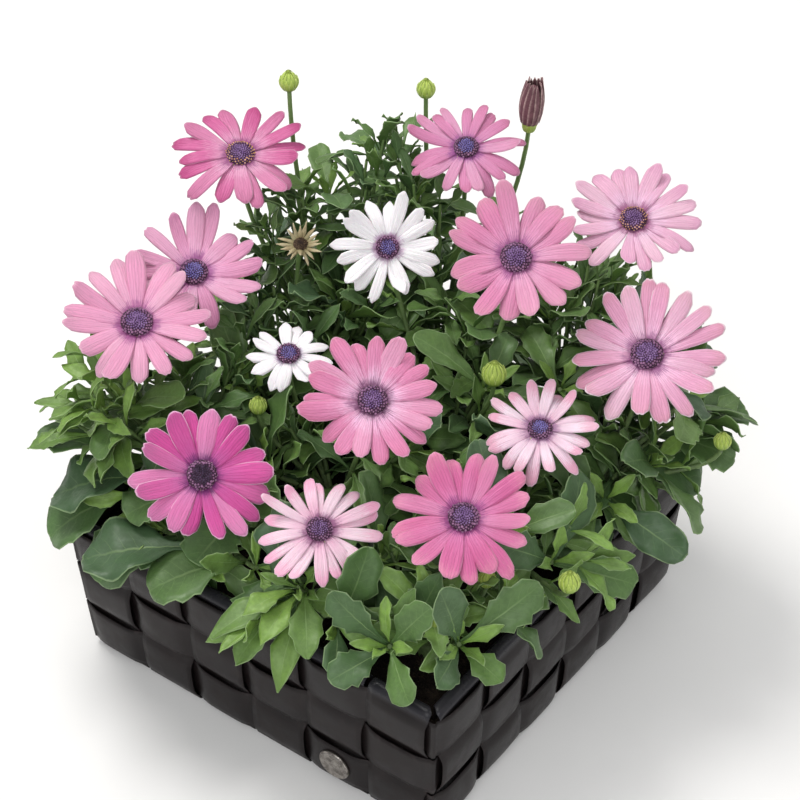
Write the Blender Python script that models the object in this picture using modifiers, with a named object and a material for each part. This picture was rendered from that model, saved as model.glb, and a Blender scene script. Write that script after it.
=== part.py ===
# An osteospermum plant that grows in a square basket woven from wide flat strips.
# Lengths are in metres, angles in degrees, +Z is up.
import math
import random

import bpy
import numpy as np
from mathutils import Matrix, Vector
from mathutils.bvhtree import BVHTree

# The basket: strips per side, spacing of the strips, and their section.
stripCount = 6
stripPitch = 0.040
stripWidth = 0.0372
stripThickness = 0.0008
weaveDepth = 0.0006
basketHeight = 0.096
wallDistance = 0.1225
sideTaper = 0.045
rowCount = 3
rowPitch = 0.030
rowWidth = 0.0276
lowestRow = 0.0185
baseLevel = weaveDepth + stripThickness / 2
footRadius = 0.003
rollRadius = 0.003
rollTail = 0.009
cornerRadius = 0.003
mitreGap = 0.0015

# The badge on the lowest row.
badgeRadius = 0.0095
badgeThickness = 0.0016
badgeAcross = 1.5 * stripPitch

# The liner and the soil in it.
clearance = 0.0003
linerThickness = 0.0012
linerTop = 0.082
linerDistance = wallDistance - weaveDepth - stripThickness / 2 - 0.001
linerFloor = baseLevel + weaveDepth + stripThickness / 2 + 0.0008
linerCorner = 0.006
soilTop = 0.079
soilMound = 0.006
stemHoleDepth = 0.016

# Stems.
stockRadius = 0.0050
stockRise = 0.008
stockSpread = 0.0016
stalkRadius = 0.0013
stalkSides = 4
shootRadius = 0.0014
shootSides = 3
bladeThickness = 0.0006
petalLift = 0.0006
bractCount = 9
centreShare = 0.2
discShare = 0.185
discSides = 8


def openFlower(head, azimuth, elevation, radius, petals, width, cup):
    return dict(head=head, azimuth=azimuth, elevation=elevation, radius=radius,
                petals=petals, width=width, cup=cup)


# Every open flower: where its head is, which way it faces, its reach, its petals, their width and how far they
# are raised.
blooms = {
    "a": openFlower((-0.131, 0.046, 0.236), -43, 71, 0.0377, 17, 0.0112, 4),
    "b": openFlower((-0.035, 0.124, 0.236), -58, 68, 0.0335, 19, 0.0090, 7),
    "c": openFlower((-0.031, 0.046, 0.216), -53, 43, 0.0303, 17, 0.0086, 12),
    "d": openFlower((0.038, 0.065, 0.228), -59, 57, 0.0400, 15, 0.0130, 16),
    "e": openFlower((0.065, 0.138, 0.222), -66, 65, 0.0354, 19, 0.0100, 14),
    "f": openFlower((0.111, 0.081, 0.188), -66, 62, 0.0417, 19, 0.0118, 17),
    "g": openFlower((-0.119, -0.011, 0.195), -43, 63, 0.0371, 16, 0.0108, 13),
    "h": openFlower((-0.110, -0.067, 0.200), -38, 67, 0.0407, 17, 0.0122, 14),
    "i": openFlower((-0.049, -0.018, 0.176), -46, 73, 0.0233, 13, 0.0080, 2),
    "j": openFlower((0.024, -0.041, 0.196), -52, 58, 0.0371, 19, 0.0112, 16),
    "k": openFlower((0.087, 0.018, 0.168), -66, 76, 0.0313, 18, 0.0072, 3),
    "l": openFlower((-0.044, -0.097, 0.150), -46, 50, 0.0380, 18, 0.0122, 14),
    "m": openFlower((0.027, -0.090, 0.146), -49, 66, 0.0321, 18, 0.0074, 5),
    "n": openFlower((0.091, -0.056, 0.164), -57, 66, 0.0375, 17, 0.0118, 10),
}

# Flowers that are not open.
closedBloom = dict(head=(-0.014, 0.155, 0.248), azimuth=-40, elevation=80, radius=0.0062, length=0.025)
seedHead = dict(head=(-0.081, 0.034, 0.203), azimuth=-40, elevation=62, radius=0.0050, reach=0.0135)
heads = dict(blooms, closed=closedBloom, seed=seedHead)

# Each leafy stem: its foot in the soil, the heads it carries, its green buds as (place, size), and its shoots as
# (tip, size of its leaves, how broad they are, leaves in its lower and its upper whorl).
leafyStems = [
    dict(foot=(-0.082, 0.062), heads=["a"], buds=[((-0.127, 0.085, 0.260), 0.0058)],
         shoots=[((-0.100, 0.084, 0.200), 0.90, 0.80, (3, 4)), ((-0.120, 0.092, 0.146), 1.1, 1.0, (0, 4)),
                 ((-0.126, 0.050, 0.142), 1.1, 1.0, (0, 4))]),
    dict(foot=(-0.034, 0.094), heads=["b", "closed"], buds=[((-0.076, 0.143, 0.245), 0.0056)],
         shoots=[((-0.090, 0.118, 0.212), 0.90, 0.75, (3, 4)), ((-0.062, 0.112, 0.194), 0.90, 0.75, (3, 4)),
                 ((-0.040, 0.100, 0.152), 1.0, 0.9, (0, 5)), ((-0.004, 0.122, 0.150), 1.0, 0.9, (0, 4))]),
    dict(foot=(0.050, 0.098), heads=["e"], buds=[],
         shoots=[((0.030, 0.116, 0.152), 1.0, 0.9, (0, 5)), ((0.084, 0.122, 0.140), 1.1, 1.0, (0, 4)),
                 ((0.060, 0.080, 0.140), 0.95, 0.9, (0, 4))]),
    dict(foot=(0.094, 0.060), heads=["f"], buds=[((0.149, 0.104, 0.128), 0.0050)],
         shoots=[((0.120, 0.078, 0.118), 1.1, 1.1, (0, 5)), ((0.116, 0.112, 0.134), 1.1, 1.0, (0, 4)),
                 ((0.116, 0.040, 0.118), 1.05, 1.0, (0, 4))]),
    dict(foot=(0.008, 0.046), heads=["c", "d"], buds=[((0.046, 0.036, 0.168), 0.0070)],
         shoots=[((0.000, 0.084, 0.150), 1.0, 0.9, (0, 5)), ((-0.004, 0.014, 0.124), 1.0, 0.9, (0, 4)),
                 ((0.034, 0.046, 0.150), 0.95, 0.9, (0, 4))]),
    dict(foot=(-0.074, 0.012), heads=["g", "seed"], buds=[],
         shoots=[((-0.068, 0.052, 0.148), 1.0, 0.9, (0, 5)), ((-0.122, 0.010, 0.142), 1.05, 1.0, (0, 4)),
                 ((-0.078, -0.016, 0.134), 1.0, 0.9, (0, 4))]),
    dict(foot=(-0.092, -0.054), heads=["h"], buds=[],
         shoots=[((-0.116, -0.070, 0.142), 1.0, 1.0, (0, 5)), ((-0.114, -0.030, 0.134), 1.0, 1.0, (0, 4)),
                 ((-0.092, -0.098, 0.112), 1.35, 1.3, (0, 4))]),
    dict(foot=(-0.014, -0.026), heads=["i", "j"], buds=[((-0.053, -0.040, 0.150), 0.0050)],
         shoots=[((-0.036, -0.012, 0.130), 1.0, 0.9, (0, 4)), ((0.018, -0.006, 0.134), 0.95, 0.9, (0, 4)),
                 ((-0.040, -0.050, 0.122), 1.0, 1.0, (0, 4))]),
    dict(foot=(-0.052, -0.086), heads=["l"], buds=[],
         shoots=[((-0.064, -0.108, 0.108), 1.35, 1.4, (0, 4)), ((-0.034, -0.110, 0.106), 1.1, 1.2, (0, 4)),
                 ((-0.004, -0.104, 0.112), 0.9, 0.9, (0, 4)), ((-0.070, -0.072, 0.126), 1.0, 1.0, (0, 3))]),
    dict(foot=(0.026, -0.084), heads=["m"], buds=[],
         shoots=[((0.018, -0.108, 0.106), 1.05, 1.1, (0, 4)), ((0.052, -0.108, 0.108), 1.05, 1.0, (0, 4)),
                 ((0.050, -0.070, 0.120), 0.95, 0.9, (0, 4))]),
    dict(foot=(0.084, -0.076), heads=["n"],
         buds=[((0.098, -0.089, 0.116), 0.0058), ((0.106, -0.056, 0.127), 0.0048)],
         shoots=[((0.084, -0.108, 0.112), 1.0, 1.0, (0, 4)), ((0.112, -0.088, 0.114), 1.0, 1.0, (0, 4)),
                 ((0.114, -0.056, 0.116), 1.0, 1.0, (0, 4))]),
    dict(foot=(0.082, -0.006), heads=["k"], buds=[((0.138, -0.029, 0.121), 0.0060)],
         shoots=[((0.118, -0.014, 0.116), 1.05, 1.0, (0, 4)), ((0.072, 0.026, 0.124), 1.0, 0.9, (0, 4)),
                 ((0.094, -0.024, 0.128), 1.0, 0.9, (0, 4)), ((0.050, -0.014, 0.128), 0.95, 0.9, (0, 4))]),
]

calyxLength = 0.0085
leafLength = 0.046
leafWidth = 0.0200
bigLeaf = 0.055
leafSeed = 41
whorlRadius = 0.0021
frontLowLeaves = 3
backLowLeaves = 1
leafFold = 0.22
leafRoom = 0.0020
ownLeafRoom = 0.0014
lowestLeafSlope = -0.25
# Stations of a leaf as (share of its length, how far its teeth reach).
smallLeafStations = ((0.36, 1.0), (0.66, 1.05), (0.89, 0.92))
bigLeafStations = ((0.30, 1.0), (0.47, 1.12), (0.60, 0.95), (0.76, 1.10), (0.90, 0.88))
# Ways to clear a neighbour, as (further spread, share of the leaf's size).
leafTries = ((0, 1), (16, 1), (-16, 0.95), (30, 0.95), (-28, 0.88), (8, 0.8), (-10, 0.72), (24, 0.72), (0, 0.6))

collection = None
plantOrigin = None


def clearScene():
    for obj in list(bpy.data.objects):
        bpy.data.objects.remove(obj, do_unlink=True)


def makeMaterial(name, colour, roughness, metallic=0.0):
    material = bpy.data.materials.new(name)
    material.use_nodes = True
    shader = material.node_tree.nodes["Principled BSDF"]
    shader.inputs["Base Color"].default_value = (*colour, 1.0)
    shader.inputs["Roughness"].default_value = roughness
    shader.inputs["Metallic"].default_value = metallic
    return material


def addObject(name, points, faces, material, thickness=0.0):
    """A mesh object, given a wall by Solidify where a thickness is stated."""
    mesh = bpy.data.meshes.new(name)
    mesh.from_pydata([tuple(point) for point in points], [], faces)
    mesh.update()
    mesh.materials.append(material)
    obj = bpy.data.objects.new(name, mesh)
    collection.objects.link(obj)
    obj.parent = plantOrigin
    if thickness:
        wall = obj.modifiers.new("wall", "SOLIDIFY")
        wall.thickness = thickness
        wall.offset = 0.0
    return obj


def tapered(point):
    """A point of the straight-sided basket, drawn in towards the foot."""
    x, y, z = point
    draw = 1 - sideTaper * (1 - z / basketHeight)
    return Vector((x * draw, y * draw, z))


def arc(centre, radius, start, end, steps):
    """Points of an arc in the (distance, height) plane, without its first one."""
    angles = [math.radians(start + (end - start) * (i + 1) / steps) for i in range(steps)]
    return [(centre[0] + radius * math.cos(a), centre[1] + radius * math.sin(a)) for a in angles]


def rowLevel(row):
    return lowestRow + (row - 1) * rowPitch


def sideProfile(outside):
    """One half of an upright as (distance, height), from the middle of its foot bend up to its rolled end.
    outside(row) says whether the upright lies outside row 1 to 3."""
    points = []
    for row in range(1, rowCount + 1):
        shift = weaveDepth if outside(row) else -weaveDepth
        low = rowLevel(row) - rowWidth / 2
        high = rowLevel(row) + rowWidth / 2
        points += [(wallDistance + shift, low), (wallDistance + shift, high)]
    top = points[-1][0]
    points += arc((top - rollRadius, basketHeight - rollRadius), rollRadius, 0, 180, 3)
    end = points[-1]
    points.append((end[0], end[1] - rollTail))
    return points


def uprightPath(column, alongX):
    """The upright's middle line as (distance from the middle, height), from one rim to the other."""
    parity = 1 if alongX else 0
    outside = lambda step: (column + step + parity) % 2 == 0
    nearSide = sideProfile(lambda row: outside(rowCount + 1 - row))
    farSide = sideProfile(lambda row: outside(rowCount + stripCount + row))
    # Under the liner the two sets of strips lie flat, one set on the other.
    level = baseLevel + (weaveDepth if alongX else -weaveDepth)
    reach = wallDistance - 0.010
    base = [(-reach, level), (reach, level)]
    first, last = nearSide[0][0], farSide[0][0]
    bendLevel = level + footRadius
    nearBend = [(first, bendLevel)] + arc((first - footRadius, bendLevel), footRadius, 0, -90, 2)
    farBend = [(last, bendLevel)] + arc((last - footRadius, bendLevel), footRadius, 0, -90, 2)
    near = [(-d, h) for d, h in list(reversed(nearSide)) + nearBend]
    return near + base + list(reversed(farBend)) + farSide


def ribbon(path, across):
    """An open strip of faces along a path, with the points at its two edges made by across(point, side)."""
    points = []
    for point in path:
        points += [across(point, -1), across(point, 1)]
    faces = [(2 * i, 2 * i + 1, 2 * i + 3, 2 * i + 2) for i in range(len(path) - 1)]
    return points, faces


def edgeOf(centre, side, point):
    """Where a strip's edge runs. The rolled ends of neighbours at a corner are mitred to clear each other."""
    edge = centre + side * stripWidth / 2
    limit = abs(point[0]) - mitreGap
    return max(-limit, min(limit, edge)) if point[1] > linerTop else edge


def makeUprights(material):
    for column in range(1, stripCount + 1):
        offset = ((stripCount + 1) / 2 - column) * stripPitch
        points, faces = ribbon(uprightPath(column, False),
                               lambda p, side: tapered((edgeOf(offset, side, p), p[0], p[1])))
        addObject(f"upright_y_{column}", points, faces, material, stripThickness)
        # Seen from the +X side the columns are counted from the same corner, at -Y.
        points, faces = ribbon([(-d, h) for d, h in uprightPath(column, True)],
                               lambda p, side: tapered((p[0], edgeOf(-offset, side, p), p[1])))
        addObject(f"upright_x_{column}", points, faces, material, stripThickness)


def rowLoop(row):
    """The middle line of a woven row seen from above, round the four sides."""
    points = []
    step = rowCount + 1 - row
    for side in range(4):
        turn = Matrix.Rotation(math.radians(90 * side), 2)
        line = []
        # Going round from the front corner the side at +X comes first, so its columns are counted up.
        for column in range(1, stripCount + 1):
            ring = side * stripCount + column
            uprightOutside = (ring + step + 1) % 2 == 0
            depth = wallDistance + (-weaveDepth if uprightOutside else weaveDepth)
            centre = (column - (stripCount + 1) / 2) * stripPitch
            reach = stripWidth / 2
            low = centre - reach if column > 1 else -(wallDistance - weaveDepth - cornerRadius)
            high = centre + reach if column < stripCount else wallDistance - weaveDepth - cornerRadius
            line += [(depth, low), (depth, high)]
        points += [turn @ Vector(p) for p in line]
        # One point in the middle of the rounded corner.
        corner = wallDistance - cornerRadius * (1 - math.sqrt(0.5))
        points.append(turn @ Vector((corner, corner)))
    return points


def makeRows(material):
    for row in range(1, rowCount + 1):
        loop = rowLoop(row)
        points = []
        for p in loop:
            points += [tapered((p[0], p[1], rowLevel(row) + side * rowWidth / 2)) for side in (-1, 1)]
        count = len(loop)
        faces = []
        for i in range(count):
            j = (i + 1) % count
            faces.append((2 * i, 2 * j, 2 * j + 1, 2 * i + 1))
        addObject(f"row_{row}", points, faces, material, stripThickness)


def makeBadge(material):
    level = rowLevel(1)
    face = tapered((badgeAcross, -(wallDistance + weaveDepth + stripThickness / 2), level))
    bpy.ops.mesh.primitive_cylinder_add(vertices=14, radius=badgeRadius, depth=badgeThickness)
    badge = bpy.context.object
    badge.name = "badge"
    for owner in list(badge.users_collection):
        owner.objects.unlink(badge)
    collection.objects.link(badge)
    badge.parent = plantOrigin
    lean = math.atan(sideTaper * wallDistance / basketHeight)
    badge.rotation_euler = (math.radians(90) + lean, 0, 0)
    badge.location = face - (clearance + badgeThickness / 2) * Vector((0, math.cos(lean), math.sin(lean)))
    badge.data.materials.append(material)
    edge = badge.modifiers.new("edge", "BEVEL")
    edge.width = 0.0005
    edge.segments = 1
    edge.limit_method = "ANGLE"
    return badge


def roundedSquare(half, radius, steps=2):
    """Corner points of a square with rounded corners, counterclockwise."""
    points = []
    for corner in range(4):
        turn = Matrix.Rotation(math.radians(90 * corner), 2)
        for i in range(steps + 1):
            angle = math.radians(90 * i / steps)
            points.append(turn @ Vector((half - radius + radius * math.cos(angle),
                                         half - radius + radius * math.sin(angle))))
    return points


def makeLiner(material):
    half = linerDistance - linerThickness / 2
    levels = (linerFloor + linerThickness / 2, linerTop)
    points = []
    for level in levels:
        points += [tapered((p[0], p[1], level)) for p in roundedSquare(half, linerCorner)]
    count = len(points) // 2
    faces = [(i, (i + 1) % count, count + (i + 1) % count, count + i) for i in range(count)]
    faces.append(tuple(reversed(range(count))))
    liner = addObject("liner", points, faces, material, linerThickness)
    liner.modifiers["wall"].use_even_offset = True


def soilLevel(x, y):
    """Height of the soil: a low mound with a few humps."""
    half = linerDistance
    fall = max(abs(x), abs(y)) / half
    hump = 0.0012 * math.sin(61 * x + 1.3) * math.cos(73 * y + 0.4)
    return soilTop + soilMound * (1 - fall ** 2) + hump * (1 - fall ** 4)


def makeSoil(material):
    half = linerDistance - linerThickness - clearance
    outline = roundedSquare(half, linerCorner - linerThickness)
    count = len(outline)
    floor = linerFloor + linerThickness + clearance
    points = [tapered((p[0], p[1], floor)) for p in outline]
    points += [tapered((p[0], p[1], soilTop)) for p in outline]
    rings = (0.80, 0.55, 0.28)
    for share in rings:
        points += [Vector((p[0] * share, p[1] * share, soilLevel(p[0] * share, p[1] * share))) for p in outline]
    points.append(Vector((0, 0, soilLevel(0, 0))))
    faces = [tuple(reversed(range(count)))]
    for ring in range(len(rings) + 1):
        low, high = ring * count, (ring + 1) * count
        for i in range(count):
            j = (i + 1) % count
            faces += [(low + i, low + j, high + j), (low + i, high + j, high + i)]
    last = (len(rings) + 1) * count
    faces += [(last + i, last + (i + 1) % count, len(points) - 1) for i in range(count)]
    soil = addObject("soil", points, faces, material)
    holes = bpy.data.collections.new("cutters")
    bpy.context.scene.collection.children.link(holes)
    for number, plant in enumerate(leafyStems, 1):
        x, y = plant["foot"]
        bottom = soilLevel(x, y) - stemHoleDepth
        top = soilLevel(x, y) + 0.010
        bpy.ops.mesh.primitive_cylinder_add(vertices=6, radius=1.15 * stockRadius + 2 * clearance,
                                            depth=top - bottom, location=(x, y, (top + bottom) / 2))
        cutter = bpy.context.object
        cutter.name = f"stem_hole_{number}"
        for owner in list(cutter.users_collection):
            owner.objects.unlink(cutter)
        holes.objects.link(cutter)
        cutter.parent = plantOrigin
        cutter.hide_render = True
        cutter.display_type = "WIRE"
    cut = soil.modifiers.new("stem holes", "BOOLEAN")
    cut.operation = "DIFFERENCE"
    cut.operand_type = "COLLECTION"
    cut.collection = holes
    return soil


def facing(azimuth, elevation):
    a, e = math.radians(azimuth), math.radians(elevation)
    return Vector((math.cos(a) * math.cos(e), math.sin(a) * math.cos(e), math.sin(e)))


def headFrame(bloom):
    """Turns a head's own axes, with z out of its face, into the model's."""
    axis = facing(bloom["azimuth"], bloom["elevation"])
    right = Vector((0, 0, 1)).cross(axis).normalized()
    upward = axis.cross(right)
    turn = Matrix((right, upward, axis)).transposed().to_4x4()
    return Matrix.Translation(Vector(bloom["head"])) @ turn


def petalRing(key, bloom):
    """The petals as one open sheet: a flat centre, and petals alternately in an upper and a lower layer."""
    draw = random.Random(f"petals {key}")
    radius, count, width = bloom["radius"], bloom["petals"], bloom["width"]
    centre = centreShare * radius
    slope = math.tan(math.radians(bloom["cup"]))
    points = [Vector((0, 0, 0))]
    turnStart = draw.uniform(0, 360)
    for i in range(count):
        angle = math.radians(turnStart + 360 * (i - 0.5) / count)
        points.append(Vector((centre * math.cos(angle), centre * math.sin(angle), 0)))
    faces = [(0, 1 + i, 1 + (i + 1) % count) for i in range(count)]
    for i in range(count):
        middle = math.radians(turnStart + 360 * i / count)
        along = Vector((math.cos(middle), math.sin(middle), 0))
        side = Vector((-math.sin(middle), math.cos(middle), 0))
        reach = radius * draw.uniform(0.94, 1.02)
        broad = width * draw.uniform(0.92, 1.05)
        lift = draw.uniform(0.0, 0.0012)
        layer = 1 if i % 2 else -1
        # An odd last petal lies beside both layers, so it is kept narrow.
        odd = count % 2 and i == count - 1
        stations = ((0.72, broad), (0.97, 0.58 * broad))
        first = len(points)
        for share, wide in stations:
            if odd:
                wide = min(wide, share * radius * 2 * math.pi / count - 0.55 * (broad - 0.0085))
            rise = slope * (share * reach - centre) - 0.05 * radius * share ** 3 + layer * petalLift
            if not odd:
                rise += layer * lift * (share - 0.42)
            for sign in (-1, 1):
                points.append(along * share * reach + side * sign * wide / 2 + Vector((0, 0, rise)))
        rows = [(1 + i, 1 + (i + 1) % count)]
        rows += [(first + 2 * k, first + 2 * k + 1) for k in range(len(stations))]
        for (a, b), (c, d) in zip(rows, rows[1:]):
            faces += [(a, c, d), (a, d, b)]
    return points, faces


def makeBloom(key, bloom, petalMaterial, discMaterial):
    place = headFrame(bloom)
    points, faces = petalRing(key, bloom)
    addObject(f"bloom_{key}_petals", [place @ p for p in points], faces, petalMaterial, bladeThickness)
    radius = discShare * bloom["radius"]
    base = bladeThickness / 2 + clearance
    sides = discSides
    points = []
    for share, height in ((1.0, 0.0), (1.0, 0.30), (0.62, 0.42)):
        for i in range(sides):
            angle = 2 * math.pi * (i + 0.5 * (share < 1)) / sides
            relief = 0.0005 * (i % 2) if height else 0.0
            points.append(Vector((share * radius * math.cos(angle), share * radius * math.sin(angle),
                                  base + height * radius + relief)))
    points.append(Vector((0, 0, base + 0.40 * radius)))
    faces = [tuple(reversed(range(sides)))]
    for ring in range(2):
        low, high = ring * sides, (ring + 1) * sides
        for i in range(sides):
            j = (i + 1) % sides
            faces += [(low + i, low + j, high + j), (low + i, high + j, high + i)]
    faces += [(2 * sides + i, 2 * sides + (i + 1) % sides, 3 * sides) for i in range(sides)]
    addObject(f"bloom_{key}_disc", [place @ p for p in points], faces, discMaterial)


def bezier(p0, p1, p2, p3, steps):
    points = []
    for i in range(steps + 1):
        t = i / steps
        points.append(p0 * (1 - t) ** 3 + p1 * 3 * t * (1 - t) ** 2 + p2 * 3 * t ** 2 * (1 - t) + p3 * t ** 3)
    return points


def tube(path, radii, sides):
    """A closed tube round a path, with its ends capped."""
    points, faces = [], []
    upward = Vector((1, 0, 0))
    for i, p in enumerate(path):
        ahead = path[min(i + 1, len(path) - 1)] - path[max(i - 1, 0)]
        tangent = ahead.normalized()
        upward = (upward - tangent * upward.dot(tangent)).normalized()
        side = tangent.cross(upward)
        for k in range(sides):
            angle = 2 * math.pi * k / sides
            points.append(p + radii[i] * (upward * math.cos(angle) + side * math.sin(angle)))
    for i in range(len(path) - 1):
        for k in range(sides):
            j = (k + 1) % sides
            a, b, c, d = i * sides + k, i * sides + j, (i + 1) * sides + j, (i + 1) * sides + k
            faces += [(a, b, c), (a, c, d)]
    last = (len(path) - 1) * sides
    faces += [(0, k + 1, k) for k in range(1, sides - 1)]
    faces += [(last, last + k, last + k + 1) for k in range(1, sides - 1)]
    return points, faces


def leafHalfWidth(share):
    """Half the width of a leaf, as a share of its full half: a stalk that opens into a spoon-shaped blade."""
    stalk = 0.15
    opening = min(1.0, max(0.0, (share - 0.10) / 0.52))
    body = stalk + (1 - stalk) * opening * opening * (3 - 2 * opening)
    if share > 0.62:
        body *= math.sqrt(max(0.0, 1 - ((share - 0.62) / 0.385) ** 2.4))
    return body


def leafPoint(leaf, share, side):
    """A point of a leaf: share runs from its root to its tip, side from -1 to 1 across it."""
    bend, length, forward, upward = leaf["bend"], leaf["length"], leaf["forward"], leaf["upward"]
    angle = bend * share
    spine = leaf["root"] + length * (forward * math.sin(angle) - upward * (1 - math.cos(angle))) / bend
    normal = upward * math.cos(angle) + forward * math.sin(angle)
    half = leaf["width"] / 2 * leafHalfWidth(share)
    ripple = leaf["wave"] * math.sin(11 * share + leaf["phase"] + 1.4 * side)
    ripple *= abs(side) * min(1, 2 * share)
    return spine + leaf["across"] * side * half + normal * (leaf["fold"] * abs(side) * half + ripple)


def leafStations(leaf):
    """The stations of a leaf past its root, left edge and right edge, then its tip. Large ones are toothed."""
    small = leaf["length"] < bigLeaf
    stations = smallLeafStations if small else bigLeafStations
    points = []
    for share, tooth in stations:
        points += [leafPoint(leaf, share, -tooth), leafPoint(leaf, share, tooth)]
    return points + [leafPoint(leaf, 1, 0)]


def bladeFaces(rootLeft, rootRight, first, stations):
    """Triangles of a blade whose first station starts at point first."""
    rows = [(rootLeft, rootRight)] + [(first + 2 * k, first + 2 * k + 1) for k in range(stations)]
    faces = []
    for index, ((a, b), (c, d)) in enumerate(zip(rows, rows[1:])):
        faces += [(a, c, d), (a, d, b)] if index % 2 else [(a, c, b), (b, c, d)]
    left, right = rows[-1]
    return faces + [(left, first + 2 * stations, right)]


def thickened(points, faces, thickness, grow=1.0):
    """A closed blade round an open one."""
    points = [Vector(p) for p in points]
    middle = sum(points, Vector()) / len(points)
    normals = [Vector() for _ in points]
    for a, b, c in faces:
        normal = (points[b] - points[a]).cross(points[c] - points[a])
        for index in (a, b, c):
            normals[index] += normal
    normals = [n.normalized() * thickness / 2 for n in normals]
    grown = [middle + (p - middle) * grow for p in points]
    both = [p + n for p, n in zip(grown, normals)] + [p - n for p, n in zip(grown, normals)]
    count = len(points)
    edges = {(a, b) for face in faces for a, b in zip(face, face[1:] + face[:1])}
    closed = list(faces) + [(c + count, b + count, a + count) for a, b, c in faces]
    for a, b in sorted(edges):
        if (b, a) not in edges:
            closed += [(a, a + count, b + count), (a, b + count, b)]
    return both, closed


class Obstacle:
    """Triangles that a new leaf must stay clear of, with their box."""

    def __init__(self, points, faces, owner):
        self.tree = BVHTree.FromPolygons([tuple(p) for p in points], faces)
        block = np.array([tuple(p) for p in points])
        self.low, self.high = block.min(axis=0), block.max(axis=0)
        self.owner = owner

    def meets(self, other):
        if (self.low > other.high).any() or (other.low > self.high).any():
            return False
        return bool(self.tree.overlap(other.tree))


def stemPath(foot, top, arrival, pull, steps):
    """A stem from its place in the stock, leaning out and rising to its top, where it runs along arrival."""
    x, y = foot
    out = Vector((top.x - x, top.y - y, 0))
    reach = min(out.length, stockSpread)
    start = Vector((x, y, soilLevel(x, y) + 0.005)) + out.normalized() * reach
    rise = (top - start).length
    leave = (out * 0.35 / max(out.length, 0.02) + Vector((0, 0, 1))).normalized()
    return bezier(start, start + leave * 0.4 * rise, top - arrival * pull * rise, top, steps)


def stemPaths():
    """For each leafy stem its stalks and shoots, as (kind, path, data)."""
    plants = []
    for plant in leafyStems:
        foot = plant["foot"]
        paths = []
        for head in [heads[key] for key in plant["heads"]]:
            axis = facing(head["azimuth"], head["elevation"])
            top = Vector(head["head"]) - axis * calyxLength
            paths.append(("head", stemPath(foot, top, axis, 0.38, 4), head))
        for tip, size in plant["buds"]:
            paths.append(("bud", stemPath(foot, Vector(tip), Vector((0, 0, 1)), 0.3, 3), dict(size=size)))
        for tip, size, broad, leaves in plant["shoots"]:
            top = Vector(tip)
            lean = (top - Vector((*foot, soilTop))).normalized()
            lean = Vector((lean.x, lean.y, max(lean.z, 0.35))).normalized()
            data = dict(size=size, broad=broad, leaves=leaves)
            paths.append(("shoot", stemPath(foot, top, lean, 0.3, 2), data))
        plants.append(paths)
    return plants


def along(path, share):
    """The point and the direction at a share of a path."""
    place = min(max(share, 0.0), 0.999) * (len(path) - 1)
    i = int(place)
    return path[i].lerp(path[i + 1], place - i), (path[i + 1] - path[i]).normalized()


def whorls(path, kind, data):
    """The whorls of leaves along a stem, as (share of its length, leaves, size, spread from the stem)."""
    if kind == "shoot":
        low, high = data["leaves"]
        found = [(1.0, high, data["size"], 58)]
        return found + [(0.58, low, data["size"], 74)] if low else found
    return []


def whorlLeaves(path, share, count, size, spread, broad, draw):
    """The root points of a whorl, and for each of its leaves the ways it may be turned to clear others."""
    point, tangent = along(path, share)
    helper = Vector((0, 0, 1)) if abs(tangent.z) < 0.95 else Vector((1, 0, 0))
    sideways = tangent.cross(helper).normalized()
    other = tangent.cross(sideways)
    slots = max(3, count)
    turn = draw.uniform(0, 360)
    roots = []
    for k in range(slots):
        angle = math.radians(turn + 360 * (k - 0.5) / slots)
        roots.append(point + whorlRadius * (sideways * math.cos(angle) + other * math.sin(angle)))
    leaves = []
    for k in range(count):
        angle = math.radians(turn + 360 * k / slots)
        radial = sideways * math.cos(angle) + other * math.sin(angle)
        across = other * math.cos(angle) - sideways * math.sin(angle)
        full = size * draw.uniform(0.88, 1.12)
        bend = draw.uniform(0.25, 0.95)
        ripple = draw.uniform(0.0006, 0.0016)
        phase = draw.uniform(0, 6.28)
        tries = []
        for lean, shrink in leafTries:
            opening = math.radians(min(spread + lean, 98))
            forward = tangent * math.cos(opening) + radial * math.sin(opening)
            upward = tangent * math.sin(opening) - radial * math.cos(opening)
            if forward.z < lowestLeafSlope:
                continue
            root = (roots[k] + roots[(k + 1) % slots]) / 2
            tries.append(dict(root=root, forward=forward, upward=upward, across=across, bend=bend,
                              length=leafLength * full * shrink, width=leafWidth * full * shrink * broad,
                              fold=leafFold, wave=ripple, phase=phase))
        leaves.append(tries)
    return roots, leaves


def growWhorl(roots, leaves, owner, obstacles):
    """One whorl: a small plate round the stem, and each leaf that clears what is there already."""
    points = list(roots)
    slots = len(roots)
    faces = [(0, k, k + 1) for k in range(1, slots - 1)]
    for k, tries in enumerate(leaves):
        for leaf in tries:
            stations = leafStations(leaf)
            count = (len(stations) - 1) // 2
            blade = [roots[k], roots[(k + 1) % slots]] + stations
            whole = bladeFaces(0, 1, 2, count)
            free = [blade[0].lerp(blade[2], 0.3), blade[1].lerp(blade[3], 0.3)] + stations
            wide = Obstacle(*thickened(blade, whole, leafRoom, 1.03), owner)
            inner = Obstacle(*thickened(free, whole, ownLeafRoom), owner)
            if any((inner if other.owner == owner else wide).meets(other)
                   for other in obstacles if other.owner != (owner, "root")):
                continue
            faces += bladeFaces(k, (k + 1) % slots, len(points), count)
            points += stations
            obstacles.append(Obstacle(*thickened(free, whole, bladeThickness), owner))
            obstacles.append(Obstacle(*thickened(blade, whole, bladeThickness), (owner, "root")))
            break
    return [thickened(points, faces, bladeThickness)] if len(points) > slots else []


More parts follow.
